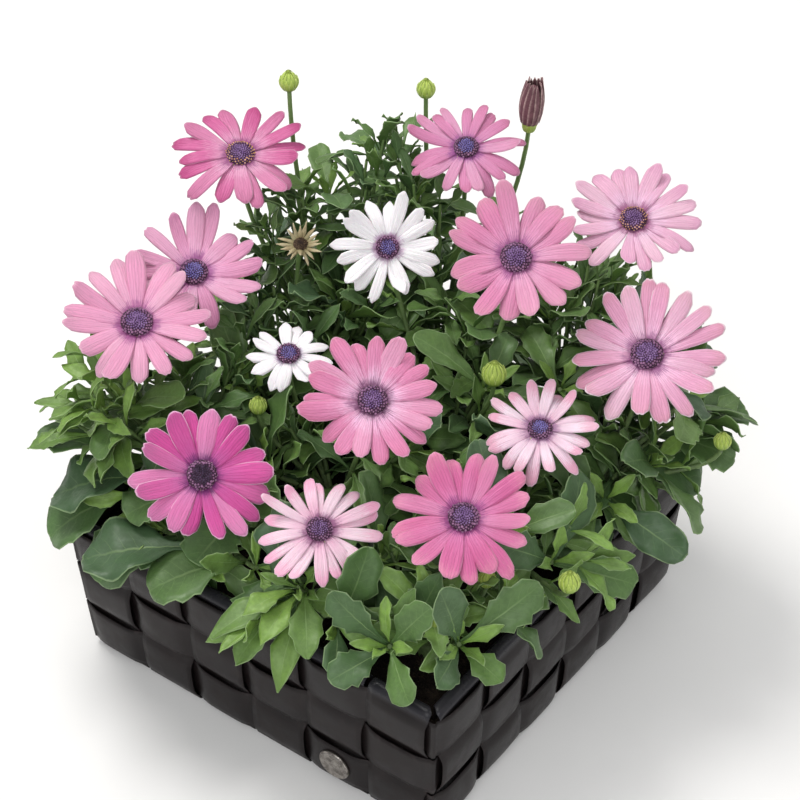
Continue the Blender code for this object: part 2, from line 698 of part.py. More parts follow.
def plantPieces():
    """Every stem, bud, calyx and whorl of leaves as (points, faces), by leafy stem."""
    draw = random.Random(leafSeed)
    plants = stemPaths()
    obstacles = [Obstacle(*worldTriangles(obj), "rigid") for obj in collection.objects]
    pieces = []
    for number, paths in enumerate(plants):
        x, y = leafyStems[number]["foot"]
        ground = soilLevel(x, y)
        stock = [Vector((x, y, ground - stemHoleDepth + 0.0008)), Vector((x, y, ground + stockRise))]
        own = [tube(stock, [stockRadius, 0.95 * stockRadius], 6)]
        for kind, path, data in paths:
            own.append(stemShape(kind, path, data))
        pieces.append(own)
        obstacles += [Obstacle(points, faces, number) for points, faces in own]
    for number, paths in enumerate(plants):
        for kind, path, data in paths:
            for share, count, size, spread in whorls(path, kind, data):
                broad = data.get("broad", 0.9)
                whorl = whorlLeaves(path, share, count, size, spread, broad, draw)
                pieces[number] += growWhorl(*whorl, number, obstacles)
        # The lowest leaves spread from the stock itself, over the soil.
        x, y = leafyStems[number]["foot"]
        top = Vector((x, y, soilLevel(x, y) + stockRise - 0.0015))
        count = frontLowLeaves if y < 0 else backLowLeaves
        whorl = whorlLeaves([top - Vector((0, 0, 0.004)), top], 1.0, count, 1.15, 74, 0.95, draw)
        pieces[number] += growWhorl(*whorl, number, obstacles)
    return pieces


def stemShape(kind, path, data):
    """A stem with what its end swells into: nothing, the green cup behind a head, or a green bud."""
    radius, sides = (shootRadius, shootSides) if kind == "shoot" else (stalkRadius, stalkSides)
    radii = [radius * (1.15 - 0.15 * i / (len(path) - 1)) for i in range(len(path))]
    path = list(path)
    if kind == "head":
        axis = facing(data["azimuth"], data["elevation"])
        wide = 0.16 * data["radius"] if "petals" in data else 0.0046
        path.append(Vector(data["head"]) - axis * (bladeThickness / 2 + clearance))
        radii[-1] = 1.3 * radius
        radii.append(wide)
    if kind == "bud":
        tip, size = path.pop(), data["size"]
        path += [tip + Vector((0, 0, height * size)) for height in (-0.35, 0, 0.9, 2.0)]
        radii += [0.65 * size, 0.95 * size, 0.45 * size]
    return tube(path, radii, sides)


def worldTriangles(obj):
    graph = bpy.context.evaluated_depsgraph_get()
    evaluated = obj.evaluated_get(graph)
    mesh = evaluated.to_mesh()
    mesh.calc_loop_triangles()
    points = [evaluated.matrix_world @ v.co for v in mesh.vertices]
    faces = [tuple(t.vertices) for t in mesh.loop_triangles]
    evaluated.to_mesh_clear()
    return points, faces


def unite(name, shapes, material):
    """Joins closed shapes that grow into each other into one solid."""
    helpers = bpy.data.collections.new(name + " pieces")
    bpy.context.scene.collection.children.link(helpers)
    first = None
    for index, (points, faces) in enumerate(shapes):
        mesh = bpy.data.meshes.new(f"{name} {index}")
        mesh.from_pydata([tuple(p) for p in points], [], faces)
        mesh.update()
        mesh.materials.append(material)
        obj = bpy.data.objects.new(f"{name} {index}", mesh)
        if first is None:
            first = obj
            bpy.context.scene.collection.objects.link(obj)
        else:
            helpers.objects.link(obj)
    join = first.modifiers.new("join", "BOOLEAN")
    join.operation = "UNION"
    join.operand_type = "COLLECTION"
    join.collection = helpers
    join.solver = "MANIFOLD"
    bpy.context.view_layer.update()
    graph = bpy.context.evaluated_depsgraph_get()
    united = bpy.data.meshes.new_from_object(first.evaluated_get(graph))
    for obj in list(helpers.objects):
        bpy.data.objects.remove(obj, do_unlink=True)
    bpy.data.collections.remove(helpers)
    bpy.data.objects.remove(first, do_unlink=True)
    united.name = name
    result = bpy.data.objects.new(name, united)
    collection.objects.link(result)
    result.parent = plantOrigin
    return result


def makeClosedBloom(material):
    """A rolled-up flower: a ribbed spindle, cut short at its tip."""
    place = headFrame(closedBloom)
    radius, length = closedBloom["radius"], closedBloom["length"]
    sides = 10
    points = []
    for share, wide in ((0.0, 0.60), (0.28, 1.0), (0.62, 0.96), (1.0, 0.52)):
        for i in range(sides):
            angle = 2 * math.pi * i / sides
            ridge = 1.0 if i % 2 else 0.86
            height = share * length + (0.0022 if share == 1.0 and i % 4 == 1 else 0)
            out = radius * wide * ridge
            points.append(Vector((out * math.cos(angle), out * math.sin(angle), bladeThickness / 2 + height)))
    faces = [tuple(reversed(range(sides)))]
    for ring in range(3):
        low, high = ring * sides, (ring + 1) * sides
        for i in range(sides):
            j = (i + 1) % sides
            faces += [(low + i, low + j, high + j), (low + i, high + j, high + i)]
    points.append(Vector((0, 0, length * 0.94)))
    faces += [(3 * sides + i, 3 * sides + (i + 1) % sides, len(points) - 1) for i in range(sides)]
    addObject("closed_bloom", [place @ p for p in points], faces, material)


def makeSeedHead(material):
    """A dry head: spiky bracts in one star, with a small cushion on it."""
    place = headFrame(seedHead)
    radius, reach = seedHead["radius"], seedHead["reach"]
    draw = random.Random("seed head")
    points, faces = [Vector((0, 0, 0))], []
    for i in range(bractCount):
        angle = 2 * math.pi * (i - 0.5) / bractCount
        points.append(0.7 * radius * Vector((math.cos(angle), math.sin(angle), 0)))
    for i in range(bractCount):
        after = 1 + (i + 1) % bractCount
        angle = 2 * math.pi * (i + draw.uniform(-0.15, 0.15)) / bractCount
        out = Vector((math.cos(angle), math.sin(angle), 0))
        long = reach * draw.uniform(0.75, 1.0)
        points.append(out * long + Vector((0, 0, draw.uniform(-0.1, 0.8) * (long - 0.7 * radius))))
        faces += [(0, 1 + i, after), (1 + i, len(points) - 1, after)]
    core = [Vector((0, 0, 0)), Vector((0, 0, 0.0022)), Vector((0, 0, 0.0042))]
    cushion = tube(core, [share * radius for share in (0.6, 0.95, 0.5)], 8)
    shapes = [thickened(points, faces, bladeThickness), cushion]
    shapes = [([place @ p for p in points], faces) for points, faces in shapes]
    unite("seed_head", shapes, material)


def standOnOrigin():
    """Moves the whole model so that the middle of the foot of its box is the origin."""
    bpy.context.view_layer.update()
    block = np.array([tuple(p) for obj in collection.objects for p in worldTriangles(obj)[0]])
    low, high = block.min(axis=0), block.max(axis=0)
    plantOrigin.location = (-(low[0] + high[0]) / 2, -(low[1] + high[1]) / 2, -low[2])
    bpy.context.view_layer.update()


def main():
    global collection, plantOrigin
    clearScene()
    collection = bpy.data.collections.new("osteospermum")
    bpy.context.scene.collection.children.link(collection)
    plantOrigin = bpy.data.objects.new("plant_origin", None)
    collection.objects.link(plantOrigin)
    strip = makeMaterial("dark_strip", (0.035, 0.030, 0.029), 0.45)
    metal = makeMaterial("badge_metal", (0.32, 0.30, 0.28), 0.40, 1.0)
    film = makeMaterial("liner_film", (0.020, 0.020, 0.020), 0.60)
    earth = makeMaterial("soil", (0.035, 0.022, 0.014), 0.95)
    petal = makeMaterial("petal", (0.80, 0.30, 0.48), 0.55)
    white = makeMaterial("white_petal", (0.90, 0.86, 0.90), 0.55)
    disc = makeMaterial("disc", (0.10, 0.06, 0.20), 0.60)
    green = makeMaterial("leaf_green", (0.09, 0.20, 0.04), 0.50)
    dry = makeMaterial("dry_bract", (0.40, 0.30, 0.20), 0.80)
    closed = makeMaterial("closed_petal", (0.20, 0.10, 0.11), 0.60)
    makeUprights(strip)
    makeRows(strip)
    makeBadge(metal)
    makeLiner(film)
    makeSoil(earth)
    for key, bloom in blooms.items():
        makeBloom(key, bloom, white if key in "ci" else petal, disc)
    makeClosedBloom(closed)
    makeSeedHead(dry)
    collection.objects.unlink(plantOrigin)
    bpy.context.view_layer.update()
    for number, shapes in enumerate(plantPieces(), 1):
        unite(f"leafy_stem_{number}", shapes, green)
    bpy.context.scene.collection.objects.link(plantOrigin)
    standOnOrigin()


main()
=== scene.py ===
import math
import random

import bpy
import numpy as np
from mathutils import Matrix, Vector, noise
from mathutils.bvhtree import BVHTree
from mathutils.kdtree import KDTree


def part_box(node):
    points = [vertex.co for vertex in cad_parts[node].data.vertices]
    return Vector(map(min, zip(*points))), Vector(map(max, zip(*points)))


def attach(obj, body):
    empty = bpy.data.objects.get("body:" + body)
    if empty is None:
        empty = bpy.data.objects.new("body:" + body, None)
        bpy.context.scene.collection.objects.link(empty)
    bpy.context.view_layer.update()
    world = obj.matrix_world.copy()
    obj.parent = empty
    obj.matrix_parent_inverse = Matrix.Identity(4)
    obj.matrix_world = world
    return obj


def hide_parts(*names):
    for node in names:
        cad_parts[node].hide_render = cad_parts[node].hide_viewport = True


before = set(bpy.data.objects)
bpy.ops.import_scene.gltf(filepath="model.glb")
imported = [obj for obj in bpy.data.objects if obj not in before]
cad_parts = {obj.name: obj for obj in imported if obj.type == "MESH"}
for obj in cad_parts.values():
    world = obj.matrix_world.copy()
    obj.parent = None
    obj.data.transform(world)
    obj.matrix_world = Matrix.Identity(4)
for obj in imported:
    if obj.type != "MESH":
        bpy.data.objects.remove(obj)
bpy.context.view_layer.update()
rowLow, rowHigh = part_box("row_1")
basketMiddle = Vector(((rowLow.x + rowHigh.x) / 2, (rowLow.y + rowHigh.y) / 2, 0))
scene = bpy.context.scene
plantPieces = bpy.data.collections.new("osteospermum looks")
scene.collection.children.link(plantPieces)
xWay, yWay, zWay = Vector((1, 0, 0)), Vector((0, 1, 0)), Vector((0, 0, 1))
goldenTurn = 2.39996  # radians from one leaf or floret of a spiral to the next
fineSteps = 14  # steps of a stalk or shoot that is seen


# Short ways to build node trees

def tint(code):
    channels = [int(code[i:i + 2], 16) / 255 for i in (1, 3, 5)]
    return tuple(c / 12.92 if c <= 0.04045 else ((c + 0.055) / 1.055) ** 2.4 for c in channels) + (1.0,)


def feed(tree, value, socket):
    # The value is a node, one of its outputs, a colour code or a plain value.
    if isinstance(value, bpy.types.Node):
        value = value.outputs[0]
    if isinstance(value, bpy.types.NodeSocket):
        tree.links.new(value, socket)
    elif value is not None:
        socket.default_value = tint(value) if isinstance(value, str) else value


def addNode(tree, kind, inputs=None, **settings):
    node = tree.nodes.new(kind)
    for key, value in settings.items():
        setattr(node, key, value)
    for key, value in (inputs or {}).items():
        feed(tree, value, node.inputs[key])
    return node


def newGroup(name, inputs, output, kind="ShaderNodeTree"):
    # A tree with named inputs of (label, sort, value), what they give, and the socket of its one output.
    tree = bpy.data.node_groups.new(name, kind)
    for label, sort, value in inputs:
        socket = tree.interface.new_socket(label, in_out="INPUT", socket_type="NodeSocket" + sort)
        if value is not None:
            socket.default_value = value
    tree.interface.new_socket(output[0], in_out="OUTPUT", socket_type="NodeSocket" + output[1])
    return tree, addNode(tree, "NodeGroupInput").outputs, addNode(tree, "NodeGroupOutput").inputs[0]


def useGroup(tree, group, **values):
    return addNode(tree, "ShaderNodeGroup", values, node_tree=group).outputs[0]


def calc(tree, operation, *values):
    return addNode(tree, "ShaderNodeMath", dict(enumerate(values)), operation=operation).outputs[0]


def times(tree, first, second):
    return calc(tree, "MULTIPLY", first, second)


def ramp(tree, value, low, high, fromValue=0.0, toValue=1.0):
    limits = {"Value": value, "From Min": low, "From Max": high, "To Min": fromValue, "To Max": toValue}
    return addNode(tree, "ShaderNodeMapRange", limits, interpolation_type="SMOOTHSTEP").outputs[0]


def blend(tree, factor, first, second):
    values = {"Factor": factor, 6: first, 7: second}
    return addNode(tree, "ShaderNodeMix", values, data_type="RGBA").outputs[2]


def mixIn(tree, colour, added, mask, share=1.0):
    # Another colour mixed in by a share of a mask.
    return blend(tree, mask if share == 1.0 else times(tree, mask, share), colour, added)


def attributeOf(tree, name):
    return addNode(tree, "ShaderNodeAttribute", attribute_name=name).outputs["Fac"]


def noiseOn(tree, place, scale, detail=2.0, distortion=0.0):
    values = {"Vector": place, "Scale": scale, "Detail": detail, "Distortion": distortion}
    return addNode(tree, "ShaderNodeTexNoise", values).outputs[0]


def bladeAxes(tree):
    # Across and along a blade, each from 0 to 1, and how far off its middle line.
    place = addNode(tree, "ShaderNodeUVMap", uv_map="bladeMap")
    across, along = addNode(tree, "ShaderNodeSeparateXYZ", {0: place}).outputs[:2]
    return across, along, calc(tree, "ABSOLUTE", calc(tree, "SUBTRACT", across, 0.5))


def cloudyPatches():
    # Two sizes of noise on what is plugged in.
    tree, given, mask = newGroup("cloudyPatches", [("Vector", "Vector", None), ("Scale", "Float", 100.0),
                                                   ("Fine", "Float", 4.0)], ("Mask", "Float"))
    broad = noiseOn(tree, given["Vector"], given["Scale"], 3.0)
    fine = noiseOn(tree, given["Vector"], times(tree, given["Scale"], given["Fine"]), 5.0)
    both = calc(tree, "ADD", times(tree, broad, 0.62), times(tree, fine, 0.38))
    feed(tree, ramp(tree, both, 0.34, 0.66), mask)
    return tree


def lengthwiseVeins():
    # Fine lines that run the length of a blade, wavering a little.
    tree, given, mask = newGroup("lengthwiseVeins", [("Across", "Float", 0.5), ("Along", "Float", 0.5),
                                                     ("Tone", "Float", 0.5), ("Count", "Float", 8.0)],
                                 ("Mask", "Float"))
    sway = calc(tree, "MULTIPLY_ADD", given["Across"], 5.0, times(tree, given["Tone"], 37.0))
    place = addNode(tree, "ShaderNodeCombineXYZ", {0: sway, 1: times(tree, given["Along"], 2.2)})
    waver = addNode(tree, "ShaderNodeTexNoise", {"Vector": place, "Scale": 1.6, "Detail": 3.0},
                    noise_dimensions="2D")
    shifted = calc(tree, "MULTIPLY_ADD", waver, 0.16, given["Across"])
    swing = calc(tree, "SINE", times(tree, times(tree, shifted, given["Count"]), 6.2832))
    feed(tree, ramp(tree, swing, 0.35, 1.0), mask)
    return tree


cloudGroup, veinGroup = cloudyPatches(), lengthwiseVeins()


def newMaterial(name, roughness, specular, scale, fine):
    # A material, its tree, its shader's inputs, Object coordinates, and cloudy patches of one size on them.
    material = bpy.data.materials.new(name)
    material.use_nodes = True
    tree = material.node_tree
    shader = tree.nodes["Principled BSDF"].inputs
    shader["Roughness"].default_value = roughness
    shader["Specular IOR Level"].default_value = specular
    place = addNode(tree, "ShaderNodeTexCoord").outputs["Object"]
    return material, tree, shader, place, useGroup(tree, cloudGroup, Vector=place, Scale=scale, Fine=fine)


def finishMaterial(tree, shader, colour, patches, roughness, height, strength, distance):
    # Roughness is a pair of values that the patches go between, or an output of its own.
    if isinstance(roughness, tuple):
        roughness = ramp(tree, patches, 0.0, 1.0, *roughness)
    feed(tree, colour, shader["Base Color"])
    feed(tree, roughness, shader["Roughness"])
    bump = {"Strength": strength, "Distance": distance, "Height": height}
    feed(tree, addNode(tree, "ShaderNodeBump", bump), shader["Normal"])


def painted(tree, geometry, material):
    return addNode(tree, "GeometryNodeSetMaterial", {"Geometry": geometry, "Material": material})


def realized(tree, geometry):
    return addNode(tree, "GeometryNodeRealizeInstances", {0: geometry})


def joined(tree, *parts):
    node = addNode(tree, "GeometryNodeJoinGeometry")
    for part in parts:
        feed(tree, part, node.inputs[0])
    return node


# Meshes and pieces

def addPiece(name, mesh, replaced=(), thickness=0.0):
    piece = bpy.data.objects.new(name, mesh)
    plantPieces.objects.link(piece)
    if thickness:
        wall = piece.modifiers.new("wall", "SOLIDIFY")
        wall.thickness, wall.offset = thickness, 0.0
    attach(piece, "root")
    if replaced:
        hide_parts(*replaced)


def addHelper(name, data, tree, **values):
    # A helper object that carries a node tree, with the values of its inputs named without their spaces.
    host = bpy.data.objects.new(name, data)
    scene.collection.objects.link(host)
    modifier = host.modifiers.new(name, "NODES")
    modifier.node_group = tree
    for item in tree.interface.items_tree:
        key = item.name.replace(" ", "")
        if item.item_type == "SOCKET" and item.in_out == "INPUT" and key in values:
            modifier[item.identifier] = values[key]
    return host


def keepHelper(host, name, replaced=(), place=None):
    # Turns what the tree makes on a helper into a plain mesh piece, and removes the helper.
    bpy.context.view_layer.update()
    mesh = bpy.data.meshes.new_from_object(host.evaluated_get(bpy.context.evaluated_depsgraph_get()))
    bpy.data.objects.remove(host, do_unlink=True)
    if place is not None:
        mesh.transform(place)
    mesh.name = name
    addPiece(name, mesh, replaced)


class Shapes:
    # Gathers many small blades or bodies into one mesh.
    def __init__(self):
        self.points, self.faces, self.uv, self.tones = [], [], [], {}

    def add(self, points, faces, uv=None, **tones):
        first = len(self.points)
        self.points += [tuple(p) for p in points]
        self.faces += [tuple(first + i for i in face) for face in faces]
        self.uv += uv or [(0.5, 0.5)] * len(points)
        for label, value in tones.items():
            values = value if isinstance(value, list) else [value] * len(points)
            self.tones.setdefault(label, []).extend(values)

    def piece(self, name, material, slotName, replaced, thickness=0.0):
        mesh = bpy.data.meshes.new(name)
        block = np.array(self.points, dtype=np.float64) + np.array(basketMiddle)
        mesh.from_pydata(block.tolist(), [], self.faces)
        mesh.materials.append(material)
        loops = np.zeros(len(mesh.loops), np.int32)
        mesh.loops.foreach_get("vertex_index", loops)
        onLoops = np.array(self.uv, np.float32)[loops]
        mesh.uv_layers.new(name="bladeMap").data.foreach_set("uv", onLoops.ravel())
        for label, values in self.tones.items():
            layer = mesh.attributes.new(label, "FLOAT", "POINT")
            layer.data.foreach_set("value", np.array(values, np.float32))
        mesh.polygons.foreach_set("use_smooth", [True] * len(mesh.polygons))
        mesh.update()
        addPiece(name, mesh, replaced, thickness)


def gridFaces(rows, columns, closed=False):
    faces = []
    for r in range(rows - 1):
        for c in range(columns if closed else columns - 1):
            d = (c + 1) % columns
            faces.append((r * columns + c, r * columns + d, (r + 1) * columns + d, (r + 1) * columns + c))
    return faces


def ringedBody(rings, sides):
    # A closed body of (centre, right, up, radius) rings; its ends are capped.
    points = []
    for centre, right, up, radius in rings:
        for k in range(sides):
            angle = 2 * math.pi * k / sides
            points.append(centre + radius * (right * math.cos(angle) + up * math.sin(angle)))
    last = (len(rings) - 1) * sides
    caps = [tuple(reversed(range(sides))), tuple(range(last, last + sides))]
    return points, gridFaces(len(rings), sides, True) + caps


def turnedBody(place, profile, sides):
    # A closed body of revolution, from its (height, radius) profile.
    turn = place.to_3x3()
    return ringedBody([(place @ Vector((0, 0, h)), turn @ xWay, turn @ yWay, r) for h, r in profile], sides)


def sideShare(column, columns):
    # From -1 at one edge of a strip or blade to 1 at the other.
    return 2 * column / (columns - 1) - 1


def spoke(angle):
    # The way outwards and the way sideways, at an angle round +Z.
    return Vector((math.cos(angle), math.sin(angle), 0)), Vector((-math.sin(angle), math.cos(angle), 0))


# The basket

basket = dict(columns=6, pitch=0.040, stripWidth=0.0372, thickness=0.0007, height=0.096, wall=0.1225,
              taper=0.045, rows=3, rowPitch=0.030, rowWidth=0.0276, lowestRow=0.0185, waveOut=0.0023,
              waveIn=0.0013, tuck=0.10, steepness=2.5, crown=0.0010, waist=0.045, rollRadius=0.0038,
              rollTail=0.009, rollFrom=0.0905, footRadius=0.003, baseLevel=0.00112, baseStep=0.0006,
              mitre=0.0015, mitreFrom=0.083, uneven=0.0006, cornerCut=0.0016)


def tapered(x, y, z):
    draw = 1 - basket["taper"] * (1 - z / basket["height"])
    return Vector((x * draw, y * draw, z))


def weave(value):
    # Over and under in turn, with steep passages between; tuck makes each strip dive a little early.
    wave = math.tanh(basket["steepness"] * (value - basket["tuck"])) / math.tanh(basket["steepness"])
    return wave, wave * (basket["waveOut"] if wave > 0 else basket["waveIn"])


def uneven(x, y, z, seed):
    return basket["uneven"] * noise.noise(Vector((x * 28, y * 28, z * 28 + seed * 7.3)))


def makeStripMaterial():
    look = dict(dark="#140f10", light="#1f1919", worn="#332c2c", roll="#34353b", grain=2600, scratches=70)
    material, tree, shader, place, patches = newMaterial("darkStrip", 0.42, 0.22, 34.0, 5.0)
    rub = noiseOn(tree, place, look["scratches"], 8.0, 1.2)
    grain = addNode(tree, "ShaderNodeTexVoronoi", {"Vector": place, "Scale": look["grain"]})
    nearEdge = ramp(tree, attributeOf(tree, "stripEdge"), 0.70, 1.0, 0.18, 0.75)
    roll = ramp(tree, attributeOf(tree, "stripRoll"), 0.0, 1.0)
    colour = blend(tree, patches, look["dark"], look["light"])
    colour = mixIn(tree, colour, look["worn"], times(tree, ramp(tree, rub, 0.52, 0.72), nearEdge))
    # Painted sheen: the rolled tops are lightened towards a cool blue-grey, and they are also made less
    # rough.
    colour = mixIn(tree, colour, look["roll"], roll, 0.55)
    rough = calc(tree, "MULTIPLY_ADD", roll, -0.16, ramp(tree, patches, 0.0, 1.0, 0.36, 0.50))
    height = calc(tree, "MULTIPLY_ADD", grain, 0.35, times(tree, rub, 0.65))
    finishMaterial(tree, shader, colour, patches, rough, height, 0.25, 0.0006)
    return material


def uprightSide(sign):
    # One wall of an upright from the foot up to the end of its roll, as (distance, height, wave).
    path = []
    radius = basket["rollRadius"]
    low, high = basket["footRadius"] + 0.001, basket["height"] - radius
    steps = 34
    for i in range(steps + 1):
        z = low + (high - low) * i / steps
        wave, out = weave(math.cos(math.pi * (z - basket["lowestRow"]) / basket["rowPitch"]) * sign)
        ease = min(1.0, (high - z) / 0.006 + 0.15)
        path.append((basket["wall"] + out * ease, z, wave * ease))
    distance = path[-1][0]
    for i in range(1, 11):
        angle = math.pi * i / 10
        path.append((distance - radius + radius * math.cos(angle), high + radius * math.sin(angle), 0.0))
    end = path[-1]
    return path + [(end[0] + 0.0008 * i / 3, end[1] - basket["rollTail"] * i / 3, 0.0) for i in range(1, 4)]


def uprightPath(turn, signs):
    # Down one wall, under the basket and up the opposite wall.
    foot = basket["footRadius"]
    level = basket["baseLevel"] - basket["baseStep"] * turn
    angles = [math.radians(a) for a in (0, 22, 45, 68)]
    bend = [(foot * math.sin(angle), foot * (1 - math.cos(angle))) for angle in angles]
    halves = []
    for way, sign in zip((-turn, turn), signs):
        wall = uprightSide(sign)
        half = [(way * (wall[0][0] - foot + x), level + z, 0.0) for x, z in bend]
        halves.append(half + [(way * d, z, w) for d, z, w in wall])
    return list(reversed(halves[0])) + halves[1]


def makeUprights(material):
    shapes = Shapes()
    columns = 11
    for alongX in (0, 1):
        turn = -1 if alongX else 1
        for number in range(1, basket["columns"] + 1):
            offset = ((basket["columns"] + 1) / 2 - number) * basket["pitch"] * turn
            beat = number + basket["rows"] + alongX
            signs = [1 if count % 2 == 0 else -1 for count in (beat, beat + basket["columns"] + 1)]
            path = uprightPath(turn, signs)
            points, uv, edges, rolls = [], [], [], []
            for distance, z, wave in path:
                limit = abs(distance) - basket["mitre"]
                for c in range(columns):
                    s = sideShare(c, columns)
                    across = offset + s * basket["stripWidth"] / 2 * (1 - basket["waist"] * max(0.0, wave))
                    if z > basket["mitreFrom"]:
                        across = max(-limit, min(limit, across))
                    out = basket["crown"] * max(0.0, wave) * (1 - s * s)
                    out += uneven(across, distance, z, number + 10 * alongX) if z > 0.006 else 0.0
                    reach = distance + math.copysign(out, distance)
                    points.append(tapered(reach, across, z) if alongX else tapered(across, reach, z))
                    uv.append((c / (columns - 1), z / basket["height"]))
                    edges.append(abs(s))
                    rolls.append(min(1.0, max(0.0, (z - basket["rollFrom"]) / 0.003)))
            faces = gridFaces(len(path), columns)
            if alongX:
                faces = [tuple(reversed(face)) for face in faces]
            shapes.add(points, faces, uv, stripEdge=edges, stripRoll=rolls)
    names = [f"upright_{axis}_{n}" for axis in "xy" for n in range(1, 7)]
    shapes.piece("basket_uprights", material, "dark_strip", names, basket["thickness"])


def rowLoop(row):
    # One row's way round the four sides, as (turn, distance, place along the side, wave, seed).
    loop = []
    steps = 10 * basket["columns"]
    reach = basket["pitch"] * basket["columns"] / 2
    corner = basket["wall"] - basket["cornerCut"]
    for side in range(4):
        turn = Matrix.Rotation(math.radians(90 * side), 2)
        for i in range(steps + 1):
            y = -reach + 2 * reach * i / steps
            column = min(int((y + reach) / basket["pitch"]) + 1, basket["columns"])
            under = (side * basket["columns"] + column + basket["rows"] + 2 - row) % 2 == 0
            centre = (column - (basket["columns"] + 1) / 2) * basket["pitch"]
            wave, out = weave(math.cos(math.pi * (y - centre) / basket["pitch"]) * (-1 if under else 1))
            loop.append((turn, basket["wall"] + out, y, wave, row + side))
        loop.append((turn, corner + 0.0014, corner + 0.0006, 0.0, row + side))
        loop.append((turn, corner + 0.0006, corner + 0.0014, 0.0, row + side))
    return loop


def makeRows(material):
    columns = 9
    for row in range(1, basket["rows"] + 1):
        middle = basket["lowestRow"] + (row - 1) * basket["rowPitch"]
        half = basket["rowWidth"] / 2
        points, uv, edges = [], [], []
        loop = rowLoop(row)
        for turn, distance, y, wave, seed in loop:
            for c in range(columns):
                t = sideShare(c, columns)
                z = middle + t * half * (1 - basket["waist"] * max(0.0, wave))
                out = distance + basket["crown"] * max(0.0, wave) * (1 - t * t) + uneven(distance, y, z, seed)
                flat = turn @ Vector((out, y))
                points.append(tapered(flat.x, flat.y, z))
                uv.append((c / (columns - 1), y / basket["height"]))
                edges.append(abs(t))
        faces = []
        for r in range(len(loop)):
            n = (r + 1) % len(loop)
            for c in range(columns - 1):
                faces.append((r * columns + c, n * columns + c, n * columns + c + 1, r * columns + c + 1))
        shapes = Shapes()
        shapes.add(points, faces, uv, stripEdge=edges, stripRoll=0.0)
        shapes.piece(f"basket_row_{row}", material, "dark_strip", [f"row_{row}"], basket["thickness"])


badge = dict(across=0.060, level=0.0185, proud=0.0032, radius=0.0095, thickness=0.0017, rim=0.0009,
             chamfer=0.0004, sides=48, metal="#b5afa8", dull="#6b6561", scratches=900)


def makeBadge():
    material, tree, shader, place, patches = newMaterial("wornBadge", 0.38, 0.5, 260.0, 6.0)
    shader["Metallic"].default_value = 1.0
    finishMaterial(tree, shader, blend(tree, patches, badge["dull"], badge["metal"]), patches, (0.55, 0.30),
                   noiseOn(tree, place, badge["scratches"], 6.0), 0.5, 0.0004)
    lean = math.atan(basket["taper"] * basket["wall"] / basket["height"])
    out = Vector((0, -math.cos(lean), -math.sin(lean)))
    upward = Vector((0, -math.sin(lean), math.cos(lean)))
    back = tapered(badge["across"], -(basket["wall"] + badge["proud"]), badge["level"])
    thick, radius, rim, cut = badge["thickness"], badge["radius"], badge["rim"], badge["chamfer"]
    profile = [(radius, 0.0), (radius, 0.7 * thick), (radius - cut, thick), (radius - rim, thick),
               (radius - rim - cut, 0.78 * thick), (0.6 * radius, 0.86 * thick), (0.3 * radius, 0.92 * thick),
               (0.04 * radius, 0.94 * thick)]
    shapes = Shapes()
    rings = [(back + out * height, xWay, upward, wide) for wide, height in profile]
    shapes.add(*ringedBody(rings, badge["sides"]))
    shapes.piece("badge_disc", material, "badge_metal", ["badge"])


def makeLinerAndSoil():
    look = dict(film="#131213", filmLight="#242224", soil="#120d0b", soilLight="#261d17", fibre="#4c3a29")
    film, tree, shader, place, creases = newMaterial("linerFilm", 0.5, 0.3, 55.0, 3.0)
    colour = blend(tree, creases, look["film"], look["filmLight"])
    finishMaterial(tree, shader, colour, creases, (0.35, 0.6), creases, 0.4, 0.001)
    earth, tree, shader, place, lumps = newMaterial("pottingSoil", 0.95, 0.2, 140.0, 5.0)
    fibre = noiseOn(tree, place, 700.0, 6.0)
    colour = blend(tree, lumps, look["soil"], look["soilLight"])
    colour = mixIn(tree, colour, look["fibre"], ramp(tree, fibre, 0.60, 0.72, 0.0, 0.6))
    finishMaterial(tree, shader, colour, lumps, (0.98, 0.85), calc(tree, "ADD", lumps, fibre), 0.8, 0.002)
    for name, material in (("liner", film), ("soil", earth)):
        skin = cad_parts[name].data.materials
        skin.clear()
        skin.append(material)
    return earth


# The layout, the same as the solids'

def openFlower(head, azimuth, elevation, radius, petals, width, cup, **look):
    return dict(look, head=head, azimuth=azimuth, elevation=elevation, radius=radius, petals=petals,
                width=width, cup=cup)


